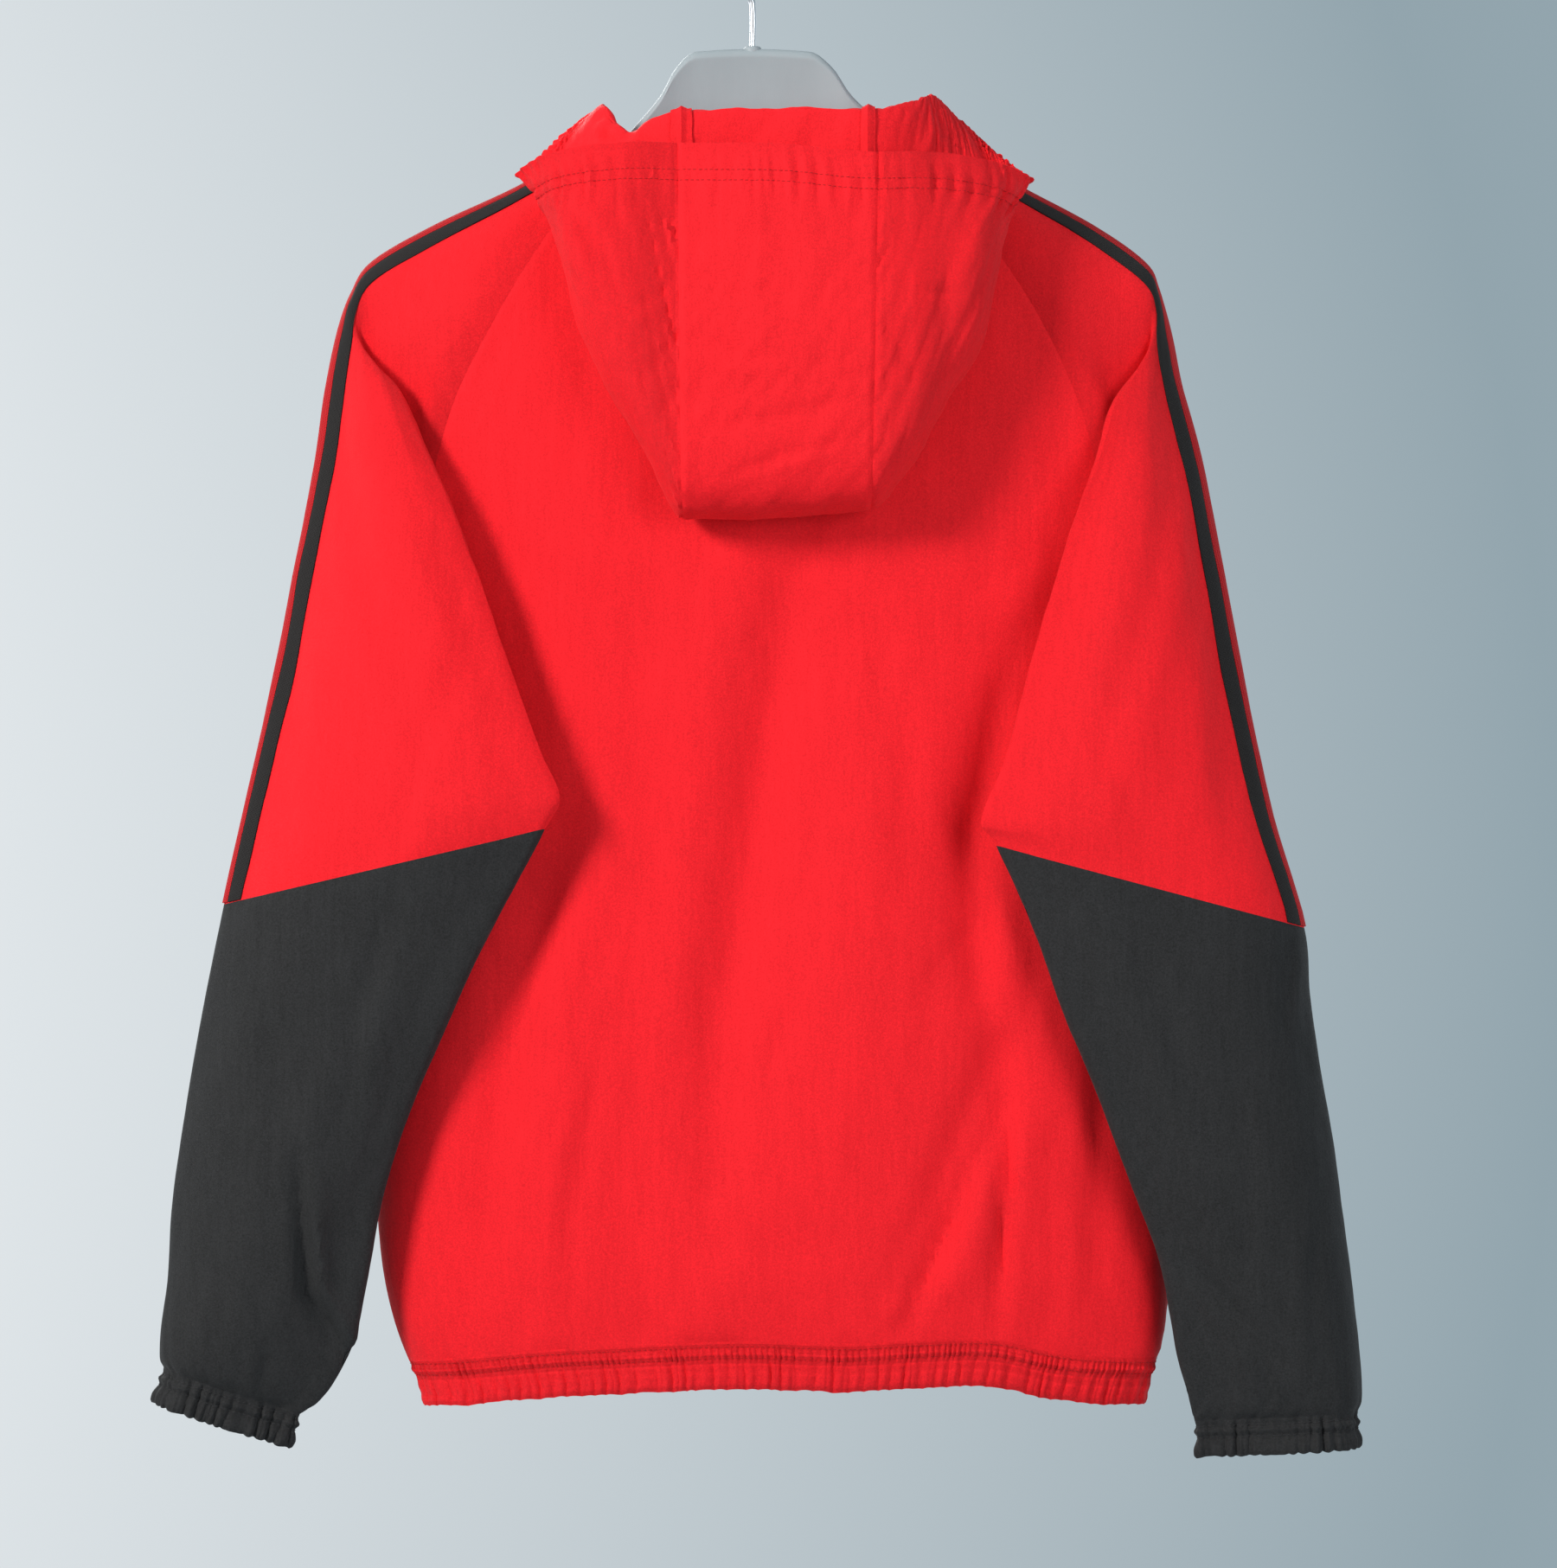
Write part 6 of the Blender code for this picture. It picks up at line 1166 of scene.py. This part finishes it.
def hoodRelief(grid, shares):
    down, over = distances(grid)
    under = down[-1] - down
    normals = gridNormals(grid)
    seams = [over[:, k: k + 1] for k in (hoodFirst, hoodLast)]
    level = np.linspace(0, 1, grid.shape[0])[:, None]
    outside = smooth(0.0, 0.4, normals[..., 1]) * smooth(0.5, 0.6, level)
    calm = smooth(0, 0.010, down) * smooth(0.004, 0.016, under)
    away = [over - seam for seam in seams]
    for each in away:
        calm = calm * smooth(0.0, 0.004, np.abs(each))
    height = creaseDepth(grid[..., 0], grid[..., 2], hood["creases"]) * hood["crease"] * outside * calm
    height += waves(over, down, 121, 22, 0.014, 0.07, 0.7) * hood["crumple"] * calm
    height += waves(over, down, 122, 18, 0.005, 0.016, 0.9) * hood["fineCrumple"] * calm
    # the two seams: a groove with uneven puckers, most of them on the outer sides
    for n, each in enumerate(away):
        near = np.abs(each)
        height -= hood["groove"] * np.exp(-((near / hood["grooveWidth"]) ** 2)) * smooth(0, 0.010, down)
        height += 0.0002 * np.exp(-(((near - 0.0034) / 0.0020) ** 2))
        side = (each < 0) if n == 0 else (each > 0)
        pull = risers(down, near, 140 + n, 62, float(down[-1].max()), 0.006, 0.022, hood["puckers"][n])
        height += pull * (0.30 + 0.70 * side) * outside * smooth(0, 0.0015, near) * smooth(0.02, 0.05, under)
    # the face edge: a turned hem with small gathers round its two rows of stitches
    inner, outerRow = hood["hem"]
    band = np.exp(-(((under - inner) / 0.0012) ** 2)) + np.exp(-(((under - outerRow) / 0.0012) ** 2))
    aside = over - over[:, grid.shape[1] // 2][:, None]
    wide = 0.35 + 0.9 * smooth(0.035, 0.080, np.abs(aside)) + 0.9 * np.exp(-(((aside - 0.025) / 0.035) ** 2))
    ripple = waves(over, under * 0.2, 151, 12, 0.005, 0.013, 0.1)
    height += -hood["hemGroove"] * band + ripple * hood["hemRipple"] * wide * np.exp(-((under - 0.018) / 0.012) ** 2)
    height += hood["edgeRoll"] * np.exp(-((under / 0.0022) ** 2))
    # gathers at the corners, and the rolled cloth of the two peaks
    reach = np.abs(shares)[None, :]
    corner = smooth(0.335, 0.385, reach) * (1 - smooth(0.47, 0.52, reach))
    pleats = waves(over, down * 0.15, 161, 12, 0.004, 0.008, 0.12)
    height += pleats * hood["pleats"] * corner * np.exp(-((under / 0.014) ** 2))
    roll = waves(over, down, 171, 14, 0.012, 0.030, 1.1)
    peak = smooth(0.30, 0.36, reach) * (1 - smooth(0.43, 0.48, reach)) * np.exp(-(((level - 0.16) / 0.13) ** 2))
    size = hood["peak"]["left"] - hood["peak"]["lessOnRight"] * (shares[None, :] > 0)
    height += (roll * size + hood["peak"]["puff"]) * peak
    height *= smooth(0, 0.010, down)
    return grid + normals * height[..., None]


hoodCloth = hoodRelief(hoodRaw, hoodShares)
addShell("hoodLeft", hoodCloth[:, : hoodFirst + 1], 1, "redShell", "hood_left")
addShell("hoodCentre", hoodCloth[:, hoodFirst: hoodLast + 1], 1, "redShell", "hood_centre")
addShell("hoodRight", hoodCloth[:, hoodLast:], 1, "redShell", "hood_right")
print("hood made")


# seam bands and stitching
bands = {"widths": {"left": 0.0130, "right": 0.0090}, "rows": (9, 51), "inside": -0.0016, "crown": 0.0002, "steps": 8}


def bandGrid(column, width):
    # a strip along the inside of one hood seam
    normals = gridNormals(hoodCloth)
    _, over = distances(hoodCloth)
    steps = bands["steps"]
    crown = np.sin(np.linspace(0, math.pi, steps + 1)) ** 0.4
    rows = []
    for i in range(*bands["rows"]):
        places = over[i, column] + np.linspace(-width / 2, width / 2, steps + 1)
        at = np.interp(places, over[i], np.arange(hoodCloth.shape[1]))
        k = np.clip(at.astype(int), 0, hoodCloth.shape[1] - 2)
        t = (at - k)[:, None]
        spot = hoodCloth[i, k] * (1 - t) + hoodCloth[i, k + 1] * t
        up = normals[i, k] * (1 - t) + normals[i, k + 1] * t
        rows.append(spot + up * (bands["inside"] - bands["crown"] - bands["crown"] * crown[:, None]))
    return np.array(rows)


def tube(path, radius, sides):
    # a round wire along a path; its radius may vary
    path = np.asarray(path, float)
    radius = np.broadcast_to(np.asarray(radius, float), (len(path),))
    ways = np.gradient(path, axis=0)
    ways /= np.linalg.norm(ways, axis=1)[:, None]
    up = np.array([0.0, 1.0, 0.0])
    angles = np.arange(sides) * 2 * math.pi / sides
    rings = []
    for way, spot, size in zip(ways, path, radius):
        side = np.cross(way, up)
        if np.linalg.norm(side) < 0.2:
            side = np.cross(way, (0.0, 0.0, 1.0))
        side /= np.linalg.norm(side)
        over = np.cross(side, way)
        rings.append(spot + size * (np.outer(np.cos(angles), side) + np.outer(np.sin(angles), over)))
    return np.concatenate(rings), ringFaces(len(path), sides)


def rowPath(grid, facing, closed, fromEnd=None, share=None):
    # a line across every column: at a distance from the last row, or at a share of the rows
    normals = gridNormals(grid, closed) * facing
    down, _ = distances(grid, closed)
    points, ups = [], []
    for j in range(grid.shape[1]):
        place = down[-1, j] - fromEnd if fromEnd is not None else down[-1, j] * share
        at = np.interp(place, down[:, j], np.arange(grid.shape[0]))
        k = min(int(at), grid.shape[0] - 2)
        t = at - k
        points.append(grid[k, j] * (1 - t) + grid[k + 1, j] * t)
        ups.append(normals[k, j] * (1 - t) + normals[k + 1, j] * t)
    if closed:
        points.append(points[0])
        ups.append(ups[0])
    return np.array(points), np.array(ups)


def columnPath(grid, facing, column, aside):
    # a line down the rows, this far to one side of a column
    normals = gridNormals(grid) * facing
    _, over = distances(grid)
    points, ups = [], []
    for i in range(grid.shape[0]):
        width = over[i]
        at = np.clip(np.interp(width[column] + aside, width, np.arange(grid.shape[1])), 0, grid.shape[1] - 1.001)
        k = int(at)
        t = at - k
        points.append(grid[i, k] * (1 - t) + grid[i, k + 1] * t)
        ups.append(normals[i, k] * (1 - t) + normals[i, k + 1] * t)
    return np.array(points), np.array(ups)


hemRows = [rowPath(hemCloth, -1, False, share=s) for s in hem["stitches"]]
hemStitches = addStitches("hemStitches", hemRows, "redThread")
for side, facing in (("left", -1), ("right", 1)):
    rows = [rowPath(cuffCloth[side], facing, True, share=s) for s in cuff["stitches"]]
    addStitches("cuffStitches" + side.title(), rows, "blackThread")
hoodRows = [rowPath(hoodCloth, 1, False, fromEnd=d) for d in hood["hem"]]
hoodStitches = addStitches("hoodHemStitches", hoodRows, "redThread")
zipRows = {side: columnPath(frontCloth[side], facing, frontCloth[side].shape[1] - 1, -0.0040)
           for side, facing in (("left", 1), ("right", -1))}
zipStitches = {side: addStitches("zipStitches" + side.title(), [zipRows[side]], "redThread") for side in zipRows}
for side, column in (("left", hoodFirst), ("right", hoodLast)):
    grid = bandGrid(column, bands["widths"][side])
    addShell("hoodBand" + side.title(), grid, -1, "redCasing", wall=0.0006)
print("stitching made")


# the zip
zipper = {
    "inner": 0.0008, "outer": 0.0130, "tape": 0.0009, "top": -0.2085, "casing": 0.0018, "cloth": 0.0012,
    "rows": 160, "columns": 9, "pitch": 0.0026,
    "tooth": {"inward": -0.0014, "outward": 0.0013, "depth": 0.0014, "height": 0.0012, "proud": 0.0002},
}


def zipTapeGrid(side):
    sign = 1 if side == "left" else -1
    low = float(hemLevel(middleX(body["hemTop"]))) - hem["height"] + 0.002
    z = np.linspace(zipper["top"], low, zipper["rows"])
    behind = zipper["cloth"] + 0.0003 + (zipper["casing"] - zipper["cloth"]) * smooth(0.004, -0.002, z - body["hemTop"])
    columns = []
    for share in np.linspace(0, 1, zipper["columns"]):
        x = middleX(z) + sign * (zipper["inner"] + (zipper["outer"] - zipper["inner"]) * share)
        points = onBody(x, z, "front")
        points[:, 1] += behind
        columns.append(points)
    return np.array(columns).transpose(1, 0, 2)


for side, facing in (("left", -1), ("right", 1)):
    addShell("zipTape" + side.title(), zipTapeGrid(side), facing, "zipTape", "zip_tape_" + side, wall=zipper["tape"])


def addTeeth():
    vertices, faces = [], []
    tooth = zipper["tooth"]
    inward, outward, proud = tooth["inward"], tooth["outward"], tooth["proud"]
    order = [(0, 1, 2, 3), (7, 6, 5, 4), (0, 4, 5, 1), (1, 5, 6, 2), (2, 6, 7, 3), (3, 7, 4, 0)]
    for side, name in ((1, "left"), (-1, "right")):
        line = zipTapeGrid(name)[:, 0]
        length = lengthsAlong(line)[-1]
        count = int(length / zipper["pitch"])
        for n in range(count):
            spot = pointsAt(line, [(n + (0.25 if side > 0 else 0.75)) * length / count])[0]
            base = len(vertices)
            for y, taper in ((-tooth["depth"] + proud, 0.78), (proud, 1.0)):
                for x, z in ((inward, -0.5), (outward, -0.42), (outward, 0.42), (inward, 0.5)):
                    vertices.append((spot[0] + side * x, spot[1] + y, spot[2] + z * taper * tooth["height"]))
            faces += [tuple(base + v for v in (quad if side > 0 else quad[::-1])) for quad in order]
    return addPiece("zipTeeth", vertices, faces, "zipMetal", sharp=30)


addTeeth()
for node in ("zip_slider", "zip_pull"):
    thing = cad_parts[node]
    thing.data.materials.clear()
    thing.data.materials.append(finishes["zipMetal"])
print("zip made")


# the hanger
hanger = {
    "sections": 132, "sides": 40, "groove": 0.0007,
    "table": (  # x from its middle, that middle's x, top z, bottom z, half thickness
        (0.0000, 0.0000, -0.0625, -0.1480, 0.0065), (0.0330, 0.0000, -0.0640, -0.1500, 0.0065),
        (0.0450, -0.0010, -0.0730, -0.1520, 0.0065), (0.0545, -0.0020, -0.0885, -0.1550, 0.0065),
        (0.0660, -0.0035, -0.1010, -0.1580, 0.0065), (0.0840, -0.0050, -0.1180, -0.1640, 0.0065),
        (0.1150, -0.0060, -0.1335, -0.1740, 0.0065), (0.1450, -0.0060, -0.1475, -0.1830, 0.0070),
        (0.1750, -0.0060, -0.1625, -0.1920, 0.0075), (0.2000, -0.0060, -0.1760, -0.2010, 0.0080),
        (0.2150, -0.0060, -0.1870, -0.2080, 0.0070),
    ),
    "hook": {"radius": 0.0018, "bend": 0.0158,
             "neck": ((0.0108, -0.0254), (0.0062, -0.0283), (0.0022, -0.0318), (0.0003, -0.0355), (0.0000, -0.0385)),
             "tip": (0.98, 0.90, 0.72, 0.35)},
    "ends": (-0.0038, -0.0033, -0.0018), "endRadius": 0.0040,
    "collar": ((-0.0030, 0.0052), (0.0002, 0.0052), (0.0012, 0.0044), (0.0015, 0.0034), (0.0015, 0.0019)),
}


def hangerBody():
    table = np.array(hanger["table"])
    left, right = table[::-1].copy(), table[1:].copy()
    left[:, 0] = left[:, 0] + left[:, 1]
    right[:, 0] = -right[:, 0] + right[:, 1]
    rows = np.concatenate([left, right])[::-1]
    places = np.linspace(rows[0, 0], rows[-1, 0], hanger["sections"] + 1)
    reads = cubic(rows[:, 0], rows[:, 2:], places, level=True)
    ends = np.array(hanger["ends"])
    shrinks = [math.sqrt(max(1 - (step / hanger["endRadius"]) ** 2, 0.04)) for step in ends]
    angles = np.arange(hanger["sides"]) * 2 * math.pi / hanger["sides"] + math.pi / hanger["sides"]
    rings = []

    def ring(x, top, bottom, half, shrink):
        middle = (top + bottom) / 2
        straight = max((top - bottom) / 2 - half, 0) * shrink
        half = half * shrink
        lift = np.where(np.sin(angles) > 0, straight, -straight)
        corner = np.sign(np.cos(angles)) * np.abs(np.cos(angles)) ** 0.72
        groove = hanger["groove"] * np.exp(-((np.sin(angles) / 0.16) ** 2)) * np.sign(np.cos(angles)) * (shrink > 0.99)
        height = middle + lift + half * np.sin(angles)
        return np.stack([np.full(len(angles), x), half * corner - groove, height], axis=1)

    rings += [ring(places[0] + step, *reads[0], shrink) for step, shrink in zip(ends, shrinks)]
    rings += [ring(place, *read, 1.0) for place, read in zip(places, reads)]
    rings += [ring(places[-1] - step, *reads[-1], shrink) for step, shrink in zip(ends[::-1], shrinks[::-1])]
    faces = ringFaces(len(rings), hanger["sides"], turned=True)
    return addPiece("hangerBody", np.concatenate(rings), faces, "hangerPlastic", "hanger_body", sharp=50)


def hangerHook():
    sizes = hanger["hook"]
    middle = sizes["radius"] - sizes["bend"]
    points = [(0.0, 0.0, hanger["table"][0][2] + 0.0002)] + [(x, 0.0, z) for x, z in sizes["neck"][::-1]]
    for degrees in range(130, -80, -15):
        angle = math.radians(degrees)
        points.append((sizes["bend"] * math.sin(angle), 0.0, middle + sizes["bend"] * math.cos(angle)))
    path = openCurve(points, 150)
    radius = np.full(len(path), sizes["radius"])
    radius[-4:] *= sizes["tip"]
    vertices, faces = tube(path, radius, 20)
    return addPiece("hangerHook", vertices, faces, "steel", "hanger_hook", sharp=50)


def hangerCollar():
    # the boss that the steel rod is pressed into
    rings, sides = [], 32
    angles = np.arange(sides) * 2 * math.pi / sides
    for height, radius in hanger["collar"]:
        level = np.full(sides, hanger["table"][0][2] + height)
        rings.append(np.stack([radius * np.cos(angles), radius * np.sin(angles), level], axis=1))
    faces = ringFaces(len(rings), sides, capped=False)
    return addPiece("hangerCollar", np.concatenate(rings), faces, "hangerPlastic", sharp=50)


hangerBody()
hangerHook()
hangerCollar()
print("hanger made")


# the floor and the world
def addFloor():
    mesh = bpy.data.meshes.new("floor")
    count = 96
    ring = [(studio["floorRadius"] * math.cos(a), studio["floorRadius"] * math.sin(a), studio["floorLevel"])
            for a in np.arange(count) * 2 * math.pi / count]
    mesh.from_pydata(ring, [], [tuple(range(count))])
    pale = Finish("floorPaint", Roughness=0.85)
    cloud = pale.noise(3, 4)
    pale.feed("Base Color", cloud.mixed((0.34, 0.39, 0.42, 1), (0.40, 0.44, 0.47, 1)))
    mesh.materials.append(pale.material)
    layer = mesh.uv_layers.new(name="cut")
    layer.data.foreach_set("uv", np.zeros(count * 2, np.float32))
    floor = bpy.data.objects.new("floor", mesh)
    scene.collection.objects.link(floor)


def addWorld():
    world = bpy.data.worlds.new("studioWorld")
    world.use_nodes = True
    tree = world.node_tree
    background = tree.nodes["Background"]
    start = Signal(tree, None)
    way = start.get("ShaderNodeTexCoord", out=0)
    split = start.make("ShaderNodeSeparateXYZ", None, {0: way})
    side, depth, height = (Signal(tree, split.outputs[k]) for k in range(3))
    # pale wall light behind the garment, brighter to the wearer's left, and a darker room on the other side
    across = (side * 3.6 + 0.46 - height * 0.4).clamped()
    up = ((height - 0.02) * (height - 0.02) * 16.0).clamped()
    wall = (across - up * 0.30).clamped().mixed((0.29, 0.375, 0.42, 1), (0.78, 0.82, 0.845, 1))
    room = (depth * 1.4 + 0.2).clamped()
    colour = room.mixed(wall, (0.25, 0.265, 0.28, 1))
    tree.links.new(colour.socket, background.inputs["Color"])
    background.inputs["Strength"].default_value = 1.0
    scene.world = world


addFloor()
addWorld()
print("done")
